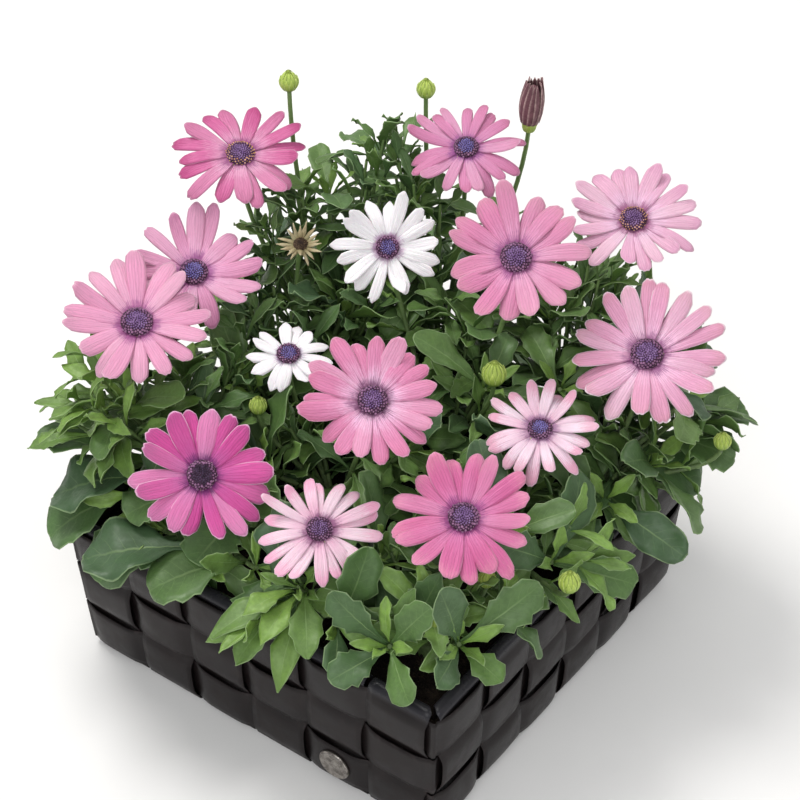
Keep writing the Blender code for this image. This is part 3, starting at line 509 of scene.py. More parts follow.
blooms = {
    "a": openFlower((-0.131, 0.046, 0.236), -43, 71, 0.0377, 17, 0.0112, 4,
                    main="#ce649a", inner="#e0a0c2", throat="#8a3775", edge="#dcb2c7", tip="#ba4982"),
    "b": openFlower((-0.035, 0.124, 0.236), -58, 68, 0.0335, 19, 0.0090, 7,
                    main="#d687b1", inner="#d790ba", throat="#90468e", edge="#e3b9cf", tip="#cb789f"),
    "c": openFlower((-0.031, 0.046, 0.216), -53, 43, 0.0303, 17, 0.0086, 12,
                    main="#fbf7fa", inner="#fcf9fb", throat="#9c5a98", edge="#fdfbfd", tip="#f8f3f6",
                    throatReach=0.15, veins=0.10, point=1.6),
    "d": openFlower((0.038, 0.065, 0.228), -59, 57, 0.0400, 15, 0.0130, 16,
                    main="#d682ab", inner="#e49cc4", throat="#964a88", edge="#e3b5c9", tip="#d38aa6"),
    "e": openFlower((0.065, 0.138, 0.222), -66, 65, 0.0354, 19, 0.0100, 14,
                    main="#e6b1cb", inner="#f0c7e3", throat="#923d75", edge="#f1dae2", tip="#dea1c1"),
    "f": openFlower((0.111, 0.081, 0.188), -66, 62, 0.0417, 19, 0.0118, 17,
                    main="#e19fc0", inner="#f8c3e2", throat="#853678", edge="#f1e5eb", tip="#d998b0",
                    edgeStrength=0.7),
    "g": openFlower((-0.119, -0.011, 0.195), -43, 63, 0.0371, 16, 0.0108, 13,
                    main="#db94b8", inner="#e9a9ce", throat="#98498c", edge="#e6bed2", tip="#cc84aa"),
    "h": openFlower((-0.110, -0.067, 0.200), -38, 67, 0.0407, 17, 0.0122, 14,
                    main="#e39abd", inner="#e29fc2", throat="#913b82", edge="#eec7d7", tip="#d797b5"),
    "i": openFlower((-0.049, -0.018, 0.176), -46, 73, 0.0233, 13, 0.0080, 2,
                    main="#faf6f9", inner="#fbf8fb", throat="#8d5f97", edge="#fdfbfd", tip="#f8f3f7",
                    throatReach=0.19, veins=0.10, point=1.7, discShare=0.26),
    "j": openFlower((0.024, -0.041, 0.196), -52, 58, 0.0371, 19, 0.0112, 16,
                    main="#dc87b0", inner="#f6c6e6", throat="#67245c", edge="#e9bfd4", tip="#d47ba1"),
    "k": openFlower((0.087, 0.018, 0.168), -66, 76, 0.0313, 18, 0.0072, 3,
                    main="#fadfef", inner="#edc7db", throat="#91588c", edge="#f8ebf2", tip="#ebacc5",
                    veins=0.30, tipFrom=0.70, slim=0.93),
    "l": openFlower((-0.044, -0.097, 0.150), -46, 50, 0.0380, 18, 0.0122, 14,
                    main="#d4509d", inner="#c85ca3", throat="#601d65", edge="#f0c2de", tip="#c45596",
                    edgeStrength=0.85, disc="#2c2233"),
    "m": openFlower((0.027, -0.090, 0.146), -49, 66, 0.0321, 18, 0.0074, 5,
                    main="#f9d5e5", inner="#ebbad3", throat="#843d74", edge="#f9ecf2", tip="#fab3d2",
                    veins=0.30, tipFrom=0.72, slim=0.93),
    "n": openFlower((0.091, -0.056, 0.164), -57, 66, 0.0375, 17, 0.0118, 10,
                    main="#d1669b", inner="#d87baf", throat="#7e2e74", edge="#dea5c1", tip="#e088aa"),
}
closedBloom = dict(head=(-0.014, 0.155, 0.248), azimuth=-40, elevation=80, radius=0.0062, length=0.025,
                   petals=13)
seedHead = dict(head=(-0.081, 0.034, 0.203), azimuth=-40, elevation=62, radius=0.0050, reach=0.0135)
heads = dict(blooms, closed=closedBloom, seed=seedHead)

# Each leafy stem: foot, flowers, buds (tip, size) and shoots (tip, leaf size, breadth, leaves low and high).
leafyStems = [
    dict(foot=(-0.082, 0.062), heads=["a"], buds=[((-0.127, 0.085, 0.260), 0.0058)],
         shoots=[((-0.100, 0.084, 0.200), 0.90, 0.80, (3, 4)), ((-0.120, 0.092, 0.146), 1.1, 1.0, (0, 4)),
                 ((-0.126, 0.050, 0.142), 1.1, 1.0, (0, 4))]),
    dict(foot=(-0.034, 0.094), heads=["b", "closed"], buds=[((-0.076, 0.143, 0.245), 0.0056)],
         shoots=[((-0.090, 0.118, 0.212), 0.90, 0.75, (3, 4)), ((-0.062, 0.112, 0.194), 0.90, 0.75, (3, 4)),
                 ((-0.040, 0.100, 0.152), 1.0, 0.9, (0, 5)), ((-0.004, 0.122, 0.150), 1.0, 0.9, (0, 4))]),
    dict(foot=(0.050, 0.098), heads=["e"], buds=[],
         shoots=[((0.030, 0.116, 0.152), 1.0, 0.9, (0, 5)), ((0.084, 0.122, 0.140), 1.1, 1.0, (0, 4)),
                 ((0.060, 0.080, 0.140), 0.95, 0.9, (0, 4))]),
    dict(foot=(0.094, 0.060), heads=["f"], buds=[((0.149, 0.104, 0.128), 0.0050)],
         shoots=[((0.120, 0.078, 0.118), 1.1, 1.1, (0, 5)), ((0.116, 0.112, 0.134), 1.1, 1.0, (0, 4)),
                 ((0.116, 0.040, 0.118), 1.05, 1.0, (0, 4))]),
    dict(foot=(0.008, 0.046), heads=["c", "d"], buds=[((0.046, 0.036, 0.168), 0.0070)],
         shoots=[((0.000, 0.084, 0.150), 1.0, 0.9, (0, 5)), ((-0.004, 0.014, 0.124), 1.0, 0.9, (0, 4)),
                 ((0.034, 0.046, 0.150), 0.95, 0.9, (0, 4))]),
    dict(foot=(-0.074, 0.012), heads=["g", "seed"], buds=[],
         shoots=[((-0.068, 0.052, 0.148), 1.0, 0.9, (0, 5)), ((-0.122, 0.010, 0.142), 1.05, 1.0, (0, 4)),
                 ((-0.078, -0.016, 0.134), 1.0, 0.9, (0, 4))]),
    dict(foot=(-0.092, -0.054), heads=["h"], buds=[],
         shoots=[((-0.116, -0.070, 0.142), 1.0, 1.0, (0, 5)), ((-0.114, -0.030, 0.134), 1.0, 1.0, (0, 4)),
                 ((-0.092, -0.098, 0.112), 1.35, 1.3, (0, 4))]),
    dict(foot=(-0.014, -0.026), heads=["i", "j"], buds=[((-0.053, -0.040, 0.150), 0.0050)],
         shoots=[((-0.036, -0.012, 0.130), 1.0, 0.9, (0, 4)), ((0.018, -0.006, 0.134), 0.95, 0.9, (0, 4)),
                 ((-0.040, -0.050, 0.122), 1.0, 1.0, (0, 4))]),
    dict(foot=(-0.052, -0.086), heads=["l"], buds=[],
         shoots=[((-0.064, -0.108, 0.108), 1.35, 1.4, (0, 4)), ((-0.034, -0.110, 0.106), 1.1, 1.2, (0, 4)),
                 ((-0.004, -0.104, 0.112), 0.9, 0.9, (0, 4)), ((-0.070, -0.072, 0.126), 1.0, 1.0, (0, 3))]),
    dict(foot=(0.026, -0.084), heads=["m"], buds=[],
         shoots=[((0.018, -0.108, 0.106), 1.05, 1.1, (0, 4)), ((0.052, -0.108, 0.108), 1.05, 1.0, (0, 4)),
                 ((0.050, -0.070, 0.120), 0.95, 0.9, (0, 4))]),
    dict(foot=(0.084, -0.076), heads=["n"],
         buds=[((0.098, -0.089, 0.116), 0.0058), ((0.106, -0.056, 0.127), 0.0048)],
         shoots=[((0.084, -0.108, 0.112), 1.0, 1.0, (0, 4)), ((0.112, -0.088, 0.114), 1.0, 1.0, (0, 4)),
                 ((0.114, -0.056, 0.116), 1.0, 1.0, (0, 4))]),
    dict(foot=(0.082, -0.006), heads=["k"], buds=[((0.138, -0.029, 0.121), 0.0060)],
         shoots=[((0.118, -0.014, 0.116), 1.05, 1.0, (0, 4)), ((0.072, 0.026, 0.124), 1.0, 0.9, (0, 4)),
                 ((0.094, -0.024, 0.128), 1.0, 0.9, (0, 4)), ((0.050, -0.014, 0.128), 0.95, 0.9, (0, 4))]),
]

growth = dict(seed=41, soilTop=0.079, soilMound=0.006, linerReach=0.1205, holeDepth=0.016, stockRise=0.008,
              stockSpread=0.0016, stalkRadius=0.0013, calyxLength=0.0085, leafLength=0.046, leafWidth=0.0200,
              leafFold=0.22, whorlRadius=0.0021, lowestSlope=-0.25, frontLow=3, backLow=1, headPull=0.38,
              pull=0.3)
# How far a leaf may lean over, in degrees, with the share of its size that it keeps.
leafTries = ((0, 1), (16, 1), (-16, 0.95), (30, 0.95), (-28, 0.88), (8, 0.8), (-10, 0.72), (24, 0.72),
             (0, 0.6))


def soilLevel(x, y):
    fall = max(abs(x), abs(y)) / growth["linerReach"]
    hump = 0.0012 * math.sin(61 * x + 1.3) * math.cos(73 * y + 0.4)
    return growth["soilTop"] + growth["soilMound"] * (1 - fall ** 2) + hump * (1 - fall ** 4)


def facing(azimuth, elevation):
    a, e = math.radians(azimuth), math.radians(elevation)
    return Vector((math.cos(a) * math.cos(e), math.sin(a) * math.cos(e), math.sin(e)))


def headFrame(bloom):
    axis = facing(bloom["azimuth"], bloom["elevation"])
    right = zWay.cross(axis).normalized()
    turn = Matrix((right, axis.cross(right), axis)).transposed().to_4x4()
    return Matrix.Translation(Vector(bloom["head"])) @ turn


def bezier(p0, p1, p2, p3, steps):
    points = []
    for i in range(steps + 1):
        t = i / steps
        points.append(p0 * (1 - t) ** 3 + p1 * 3 * t * (1 - t) ** 2 + p2 * 3 * t ** 2 * (1 - t) + p3 * t ** 3)
    return points


def stemPath(foot, top, arrival, pull, steps):
    x, y = foot
    out = Vector((top.x - x, top.y - y, 0))
    reach = min(out.length, growth["stockSpread"])
    start = Vector((x, y, soilLevel(x, y) + 0.005)) + out.normalized() * reach
    rise = (top - start).length
    leave = (out * 0.35 / max(out.length, 0.02) + zWay).normalized()
    return bezier(start, start + leave * 0.4 * rise, top - arrival * pull * rise, top, steps)


def leanTowards(foot, top, steepest):
    lean = (top - Vector((*foot, growth["soilTop"]))).normalized()
    return Vector((lean.x, lean.y, max(lean.z, steepest))).normalized()


def stemPaths(steps):
    # Each leafy stem's stalks and shoots. With no steps given, they are stepped as the solids' own are.
    plants = []
    for plant in leafyStems:
        foot = plant["foot"]
        paths = []
        for head in [heads[key] for key in plant["heads"]]:
            axis = facing(head["azimuth"], head["elevation"])
            top = Vector(head["head"]) - axis * growth["calyxLength"]
            paths.append(("head", stemPath(foot, top, axis, growth["headPull"], steps or 4), head))
        for tip, size in plant["buds"]:
            path = stemPath(foot, Vector(tip), zWay, growth["pull"], steps or 3)
            paths.append(("bud", path, dict(size=size)))
        for tip, size, broad, leaves in plant["shoots"]:
            top = Vector(tip)
            path = stemPath(foot, top, leanTowards(foot, top, 0.35), growth["pull"], steps or 2)
            paths.append(("shoot", path, dict(size=size, broad=broad, leaves=leaves)))
        plants.append(paths)
    return plants


def along(path, share):
    place = min(max(share, 0.0), 0.999) * (len(path) - 1)
    i = int(place)
    return path[i].lerp(path[i + 1], place - i), (path[i + 1] - path[i]).normalized()


def leafWays(root, tangent, radial, across, opening, full, broad, draw):
    # The ways a leaf may be turned and shortened to clear its neighbours.
    full *= draw.uniform(0.88, 1.12)
    bend = draw.uniform(0.25, 0.95)
    ripple = draw.uniform(0.0006, 0.0016)
    phase = draw.uniform(0, 6.28)
    ways = []
    for lean, shrink in leafTries:
        angle = math.radians(min(opening + lean, 98))
        forward = tangent * math.cos(angle) + radial * math.sin(angle)
        upward = tangent * math.sin(angle) - radial * math.cos(angle)
        if forward.z < growth["lowestSlope"]:
            continue
        ways.append(dict(root=root, forward=forward, upward=upward, across=across, bend=bend,
                         length=growth["leafLength"] * full * shrink,
                         width=growth["leafWidth"] * full * shrink * broad, fold=growth["leafFold"],
                         wave=ripple, phase=phase))
    return ways


def sidewaysOf(tangent):
    sideways = tangent.cross(zWay if abs(tangent.z) < 0.95 else xWay).normalized()
    return sideways, tangent.cross(sideways)


def roundStem(sideways, other, angle):
    # The way out from a stem and the way round it.
    return (sideways * math.cos(angle) + other * math.sin(angle),
            other * math.cos(angle) - sideways * math.sin(angle))


def whorlLeaves(path, share, count, size, spread, broad, draw):
    point, tangent = along(path, share)
    sideways, other = sidewaysOf(tangent)
    slots = max(3, count)
    turn = draw.uniform(0, 360)
    roots = []
    for k in range(slots):
        radial = roundStem(sideways, other, math.radians(turn + 360 * (k - 0.5) / slots))[0]
        roots.append(point + growth["whorlRadius"] * radial)
    leaves = []
    for k in range(count):
        radial, across = roundStem(sideways, other, math.radians(turn + 360 * k / slots))
        root = (roots[k] + roots[(k + 1) % slots]) / 2
        leaves.append(leafWays(root, tangent, radial, across, spread, size, broad, draw))
    return leaves


def spiralLeaves(path, count, size, broad, draw):
    # One leaf after another round a spray, smaller and more upright towards its tip.
    turn = draw.uniform(0, 6.28)
    leaves = []
    for k in range(count):
        rise = k / (count - 1)
        point, tangent = along(path, 0.30 + 0.70 * rise ** 0.8)
        radial, across = roundStem(*sidewaysOf(tangent), turn + goldenTurn * k)
        opening = 76 - 54 * rise ** 1.4
        leaves.append(leafWays(point + radial * 0.0011, tangent, radial, across, opening,
                               size * (1.05 - 0.45 * rise ** 2), broad, draw))
    return leaves


# Shares of a leaf's length: where its stalk ends, how long it widens, and where its end rounds or narrows.
leafForm = dict(stalkShare=0.10, widening=0.52, stalkWidth=0.15, roundFrom=0.62, roundOver=0.385,
                pointFrom=0.50, pointOver=0.51)


def leafHalfWidth(share, pointed=0.0):
    opening = min(1.0, max(0.0, (share - leafForm["stalkShare"]) / leafForm["widening"]))
    body = leafForm["stalkWidth"] + 0.85 * opening * opening * (3 - 2 * opening)
    taper = 1.0
    if share > leafForm["pointFrom"]:
        taper = 1 - ((share - leafForm["pointFrom"]) / leafForm["pointOver"]) ** 1.7
    if share > leafForm["roundFrom"]:
        body *= math.sqrt(max(0.0, 1 - ((share - leafForm["roundFrom"]) / leafForm["roundOver"]) ** 2.4))
    return body + pointed * (min(body, taper) - body)


def leafPoint(leaf, share, side, lift=0.0):
    bend, length, forward, upward = leaf["bend"], leaf["length"], leaf["forward"], leaf["upward"]
    angle = bend * share
    spine = leaf["root"] + length * (forward * math.sin(angle) - upward * (1 - math.cos(angle))) / bend
    normal = upward * math.cos(angle) + forward * math.sin(angle)
    half = leaf["width"] / 2 * leafHalfWidth(share, leaf.get("pointed", 0.0))
    ripple = leaf["wave"] * math.sin(11 * share + leaf["phase"] + 1.4 * side) * abs(side) * min(1, 2 * share)
    return spine + leaf["across"] * side * half + normal * (leaf["fold"] * abs(side) * half + ripple + lift)


# Leaves

foliage = dict(thickness=0.00042, extraSeed=19, bladeSeed=5, sprayLeaves=12, sprayRadius=0.0010,
               stalkRadius=0.0016, wideLeaf=0.0500, longLeaf=0.034, smallLeaf=0.030, pointed=0.8,
               sameTip=0.00045, youngFrom=0.125, crowdSize=6000, overSoil=0.004, clearShare=1.06)
# Near the front corner the rim shows: leaf tips below, beyond and from these places are cut back or left out.
cornerOfSolids, cornerOfExtras = (0.125, 0.112, 0.0), (0.118, 0.116, 0.03)
cutBack = dict(length=0.72, width=0.86, bend=0.6)

# Shoots between the main ones: tip, leaf size, breadth, youth.
sprays = [
    ((-0.084, 0.114, 0.228), 0.78, 0.73, 0.20), ((-0.090, 0.106, 0.216), 0.78, 0.73, 0.20),
    ((-0.108, 0.068, 0.196), 0.90, 0.81, 0.20), ((-0.056, 0.104, 0.214), 0.83, 0.79, 0.20),
    ((-0.071, 0.111, 0.220), 0.80, 0.76, 0.20), ((-0.080, 0.092, 0.208), 0.85, 0.78, 0.15),
    ((-0.128, 0.060, 0.184), 0.76, 0.66, 0.20), ((-0.118, 0.058, 0.180), 0.80, 0.70, 0.15),
    ((-0.105, 0.066, 0.186), 0.80, 0.70, 0.10), ((-0.114, 0.046, 0.172), 0.82, 0.74, 0.10),
    ((-0.098, 0.030, 0.170), 0.82, 0.76, 0.10), ((-0.094, 0.012, 0.162), 0.84, 0.78, 0.10),
    ((-0.081, 0.024, 0.164), 0.84, 0.78, 0.15), ((-0.062, 0.016, 0.156), 0.84, 0.78, 0.10),
    ((-0.046, 0.057, 0.166), 0.84, 0.76, 0.15), ((-0.052, 0.046, 0.158), 0.86, 0.80, 0.10),
    ((0.024, 0.126, 0.178), 0.80, 0.72, 0.15), ((0.040, 0.132, 0.168), 0.84, 0.76, 0.10),
    ((0.046, 0.146, 0.172), 0.80, 0.72, 0.20), ((0.052, 0.124, 0.160), 0.88, 0.82, 0.10),
    ((0.042, 0.114, 0.158), 0.88, 0.82, 0.10), ((0.056, 0.148, 0.156), 0.86, 0.80, 0.15),
    ((0.036, 0.100, 0.152), 0.88, 0.82, 0.10), ((0.070, 0.136, 0.150), 0.90, 0.85, 0.10),
    ((-0.098, -0.050, 0.156), 0.84, 0.78, 0.15), ((-0.081, -0.052, 0.150), 0.84, 0.78, 0.10),
    ((-0.080, -0.022, 0.154), 0.84, 0.78, 0.15), ((0.128, 0.126, 0.122), 1.00, 1.00, 0.20),
    ((0.128, 0.112, 0.114), 1.00, 1.05, 0.15), ((-0.071, 0.119, 0.220), 0.76, 0.71, 0.25),
    ((-0.064, 0.118, 0.212), 0.80, 0.76, 0.20), ((-0.078, 0.122, 0.228), 0.71, 0.67, 0.30),
    ((-0.116, 0.066, 0.198), 0.87, 0.78, 0.20), ((-0.108, 0.070, 0.203), 0.85, 0.76, 0.20),
    ((-0.058, 0.052, 0.166), 0.84, 0.78, 0.15), ((-0.052, 0.062, 0.166), 0.84, 0.76, 0.15),
    ((0.041, 0.135, 0.183), 0.80, 0.72, 0.15), ((0.051, 0.142, 0.174), 0.82, 0.74, 0.15),
    ((0.049, 0.134, 0.166), 0.86, 0.80, 0.10), ((0.024, -0.105, 0.116), 0.60, 0.60, 0.80),
    ((-0.130, -0.078, 0.157), 1.00, 0.80, 1.00), ((-0.124, -0.088, 0.150), 1.05, 0.85, 1.00),
    ((-0.128, -0.062, 0.160), 0.95, 0.78, 0.95), ((-0.132, -0.096, 0.138), 0.95, 0.85, 0.80),
    ((-0.147, -0.063, 0.160), 0.85, 0.85, 0.95), ((-0.144, -0.077, 0.154), 0.88, 0.88, 0.95),
    ((-0.140, -0.089, 0.150), 0.85, 0.80, 0.90), ((-0.136, -0.066, 0.158), 0.85, 0.85, 0.60),
    ((0.038, 0.112, 0.135), 1.00, 1.00, 0.10), ((0.036, 0.123, 0.140), 1.00, 1.00, 0.10),
    ((-0.076, 0.072, 0.150), 0.95, 0.95, 0.10), ((-0.079, 0.066, 0.158), 0.90, 0.90, 0.10),
    ((0.024, 0.148, 0.166), 0.90, 0.85, 0.15), ((0.036, 0.150, 0.152), 0.90, 0.90, 0.10),
    ((0.052, 0.150, 0.148), 0.90, 0.85, 0.15), ((0.042, 0.149, 0.150), 1.00, 1.00, 0.10),
    ((-0.084, 0.007, 0.150), 0.95, 0.95, 0.10), ((-0.130, -0.057, 0.150), 0.95, 0.95, 0.20),
    ((-0.085, 0.104, 0.206), 0.89, 0.83, 0.15), ((-0.075, 0.113, 0.208), 0.85, 0.81, 0.20),
    ((-0.067, 0.115, 0.200), 0.89, 0.85, 0.15), ((-0.078, 0.106, 0.196), 0.92, 0.92, 0.10),
    ((-0.042, 0.110, 0.203), 0.89, 0.83, 0.20), ((-0.112, 0.070, 0.203), 0.85, 0.76, 0.20),
    ((-0.086, 0.088, 0.202), 0.89, 0.79, 0.15), ((-0.072, 0.130, 0.200), 0.92, 0.83, 0.15),
    ((-0.092, 0.114, 0.210), 0.85, 0.76, 0.15), ((-0.076, 0.104, 0.212), 0.85, 0.76, 0.20),
    ((-0.066, 0.114, 0.200), 0.89, 0.81, 0.15), ((-0.120, 0.084, 0.190), 0.75, 0.66, 0.15),
    ((-0.096, 0.078, 0.186), 0.78, 0.70, 0.10), ((-0.052, 0.122, 0.190), 0.78, 0.70, 0.15),
    ((-0.082, 0.122, 0.182), 0.82, 0.75, 0.10), ((-0.062, 0.088, 0.180), 0.80, 0.72, 0.10),
    ((-0.119, -0.097, 0.158), 0.85, 0.62, 0.95), ((-0.126, -0.092, 0.140), 0.85, 0.80, 0.60),
    ((-0.099, -0.096, 0.156), 0.80, 0.62, 0.95), ((-0.126, -0.064, 0.150), 0.80, 0.80, 0.40),
    ((-0.096, -0.002, 0.160), 0.80, 0.75, 0.25), ((-0.087, -0.023, 0.150), 0.80, 0.75, 0.25),
    ((-0.074, -0.015, 0.140), 0.85, 0.80, 0.15), ((-0.104, 0.052, 0.172), 0.80, 0.70, 0.30),
    ((-0.117, 0.047, 0.190), 0.72, 0.62, 0.40), ((-0.106, 0.018, 0.160), 0.85, 0.75, 0.25),
    ((-0.070, 0.053, 0.164), 0.80, 0.75, 0.30), ((-0.012, 0.078, 0.170), 0.85, 0.70, 0.30),
    ((-0.032, 0.097, 0.174), 0.80, 0.70, 0.30), ((0.000, 0.109, 0.172), 0.85, 0.70, 0.30),
    ((0.005, 0.073, 0.160), 0.85, 0.75, 0.25), ((-0.038, 0.090, 0.160), 0.85, 0.75, 0.20),
    ((-0.044, -0.029, 0.142), 0.80, 0.75, 0.25), ((0.022, 0.040, 0.144), 0.80, 0.75, 0.25),
    ((-0.002, 0.013, 0.132), 0.80, 0.75, 0.20), ((-0.037, -0.018, 0.132), 0.80, 0.75, 0.15),
    ((0.037, 0.114, 0.172), 0.85, 0.70, 0.35), ((0.050, 0.132, 0.178), 0.85, 0.70, 0.40),
    ((0.064, 0.154, 0.160), 0.85, 0.75, 0.35), ((0.102, 0.138, 0.142), 0.90, 0.90, 0.20),
    ((0.036, 0.152, 0.168), 0.85, 0.70, 0.35), ((0.081, 0.089, 0.138), 0.90, 0.95, 0.15),
    ((0.120, 0.116, 0.130), 1.00, 1.05, 0.15), ((0.118, 0.126, 0.128), 1.00, 1.05, 0.20),
    ((0.126, 0.106, 0.120), 1.00, 1.10, 0.20), ((0.116, 0.080, 0.124), 1.00, 1.05, 0.15),
    ((0.112, 0.058, 0.122), 0.95, 1.00, 0.15), ((0.102, 0.019, 0.124), 0.80, 0.80, 0.30),
    ((0.092, 0.073, 0.132), 0.80, 0.80, 0.20), ((0.071, 0.027, 0.128), 0.80, 0.80, 0.20),
    ((0.120, -0.001, 0.132), 0.90, 0.70, 0.90), ((0.133, -0.006, 0.120), 0.90, 0.70, 0.85),
    ((0.094, -0.086, 0.124), 0.95, 0.75, 0.95), ((0.100, -0.066, 0.124), 0.90, 0.72, 0.80),
    ((0.091, 0.035, 0.132), 0.80, 0.75, 0.30), ((0.053, -0.065, 0.126), 0.85, 0.75, 0.60),
    ((-0.025, -0.079, 0.132), 0.80, 0.75, 0.45), ((0.016, -0.126, 0.106), 0.95, 0.70, 0.95),
    ((0.060, 0.060, 0.140), 0.80, 0.80, 0.20), ((-0.106, 0.118, 0.132), 1.05, 1.00, 0.10),
    ((-0.078, 0.124, 0.142), 1.00, 1.00, 0.10), ((-0.044, 0.126, 0.140), 1.00, 1.00, 0.10),
    ((-0.010, 0.128, 0.138), 1.00, 1.00, 0.10), ((0.022, 0.130, 0.134), 1.00, 1.00, 0.10),
    ((0.054, 0.126, 0.134), 1.00, 1.00, 0.10), ((0.088, 0.118, 0.128), 1.00, 1.00, 0.10),
    ((-0.124, 0.086, 0.134), 1.05, 1.00, 0.10), ((-0.124, 0.056, 0.136), 1.00, 1.00, 0.10),
    ((-0.122, 0.024, 0.134), 1.00, 1.00, 0.10), ((-0.118, -0.012, 0.132), 1.00, 1.00, 0.10),
    ((-0.088, 0.104, 0.166), 0.95, 0.90, 0.20), ((0.010, 0.096, 0.146), 0.95, 0.90, 0.15),
    ((-0.050, 0.072, 0.138), 0.95, 0.90, 0.15), ((0.046, 0.086, 0.146), 0.90, 0.90, 0.20),
    ((-0.058, 0.030, 0.138), 0.90, 0.90, 0.15),
]

# Broad old leaves that lie over the rim: root, azimuth, elevation, length, width, bend, plant, youth.
rimLeaves = [
    ((-0.015, -0.104, 0.112), -128, 4, 0.050, 0.040, 0.55, 8, 0.0),
    ((-0.042, -0.112, 0.112), -143, 4, 0.058, 0.044, 0.45, 8, 0.0),
    ((-0.088, -0.092, 0.122), -146, 2, 0.056, 0.042, 0.70, 6, 0.0),
    ((0.004, -0.088, 0.110), -74, -4, 0.046, 0.034, 0.65, 8, 0.0),
    ((-0.062, -0.086, 0.122), -122, 8, 0.038, 0.031, 0.60, 6, 0.0),
    ((-0.030, -0.082, 0.120), -92, 6, 0.040, 0.032, 0.60, 8, 0.0),
    ((-0.092, -0.068, 0.126), -172, 4, 0.050, 0.036, 0.70, 6, 0.0),
    ((0.094, 0.052, 0.112), 6, -6, 0.048, 0.036, 0.70, 3, 0.0),
    ((-0.098, -0.098, 0.108), -128, -14, 0.050, 0.040, 0.80, 6, 0.0),
    ((-0.078, -0.102, 0.106), -110, -16, 0.046, 0.036, 0.80, 6, 0.0),
    ((0.108, 0.100, 0.118), 24, 6, 0.048, 0.036, 0.60, 3, 0.0),
    ((0.112, 0.116, 0.118), 48, 8, 0.046, 0.034, 0.60, 3, 0.0),
    ((0.090, 0.020, 0.112), -8, -4, 0.050, 0.036, 0.70, 11, 0.0),
    ((0.098, 0.086, 0.116), 16, -2, 0.050, 0.038, 0.70, 3, 0.0),
    ((0.020, -0.106, 0.110), -114, 8, 0.048, 0.019, 0.70, 8, 0.5),
    ((0.022, -0.107, 0.108), -98, 0, 0.046, 0.018, 0.85, 8, 0.4),
    ((0.025, -0.107, 0.112), -84, 14, 0.036, 0.016, 0.80, 8, 0.9),
    ((0.027, -0.106, 0.108), -70, -4, 0.050, 0.016, 0.95, 8, 0.6),
    ((0.023, -0.108, 0.115), -106, 24, 0.032, 0.014, 0.80, 8, 1.0),
    ((0.028, -0.105, 0.114), -50, 10, 0.040, 0.018, 0.80, 8, 0.4),
    ((-0.118, -0.092, 0.126), -164, 6, 0.042, 0.026, 0.40, 6, 0.1),
]

# Whorls of smaller leaves on each kind of stem: place along it, count, size, spread, breadth, youth.
whorlPlans = dict(
    shoot=[(1.0, 4, 0.50, 28, 0.75, 0.95), (0.80, 4, 0.82, 62, 0.9, 0.45), (0.55, 4, 0.92, 72, 1.0, 0.15),
           (0.30, 3, 0.92, 76, 1.0, 0.0)],
    head=[(0.20, 3, 0.90, 68, 0.8, 0.1), (0.34, 3, 0.80, 62, 0.75, 0.25), (0.48, 3, 0.62, 54, 0.65, 0.4),
          (0.62, 2, 0.42, 42, 0.5, 0.6)],
    bud=[(0.35, 3, 0.75, 60, 0.8, 0.35), (0.60, 3, 0.55, 48, 0.7, 0.55)])


def rimLeaf(root, azimuth, elevation, length, width, bend, youth, draw):
    ways = []
    for turn, tilt in ((0, 0), (8, 4), (-8, 4), (14, -4), (-14, -4), (0, 12), (20, 8), (-20, 8)):
        forward = facing(azimuth + turn, elevation + tilt)
        across = zWay.cross(forward).normalized()
        ways.append(dict(root=Vector(root), forward=forward, upward=forward.cross(across), across=across,
                         bend=bend, length=length, width=width, fold=0.12, wave=0.0012,
                         phase=draw.uniform(0, 6.28), youth=youth, pointed=min(1.0, 1.6 * youth)))
    return ways


def sprayPaths():
    feet = [plant["foot"] for plant in leafyStems]
    paths = []
    for tip, size, broad, youth in sprays:
        top = Vector(tip)
        foot = min(feet, key=lambda place: math.hypot(place[0] - tip[0], place[1] - tip[1]))
        path = stemPath(foot, top, leanTowards(foot, top, 0.5), growth["pull"], fineSteps)
        paths.append((feet.index(foot), path, size, broad, youth))
    return paths


def marginAt(teeth, depth, phase, share):
    # How far out a leaf's edge stands: rounded teeth that point forward, or a slow wave.
    if not teeth:
        return 1 + 0.05 * math.sin(9 * share + phase)
    place = (share - 0.36) / 0.58 * teeth
    if place < 0 or place > teeth:
        return 1.0
    beat = place % 1.0
    tooth = beat / 0.68 if beat < 0.68 else (1 - beat) / 0.32
    return 1 + depth * (tooth ** 1.4 - 0.40)


def bladeShares(teeth, small):
    # The places of a blade's rows: the foot, the notch and the crest of each tooth, and finer near the tip.
    if not teeth:
        return [(i / 17) ** 0.9 for i in range(18)]
    beats = (0.0, 0.66) if small else (0.0, 0.40, 0.68)
    shares = [0.0, 0.13, 0.26] if small else [0.0, 0.10, 0.20, 0.29]
    shares += [0.36 + 0.58 * (k + beat) / teeth for k in range(teeth) for beat in beats]
    return shares + ([0.945, 1.0] if small else [0.945, 0.98, 1.0])


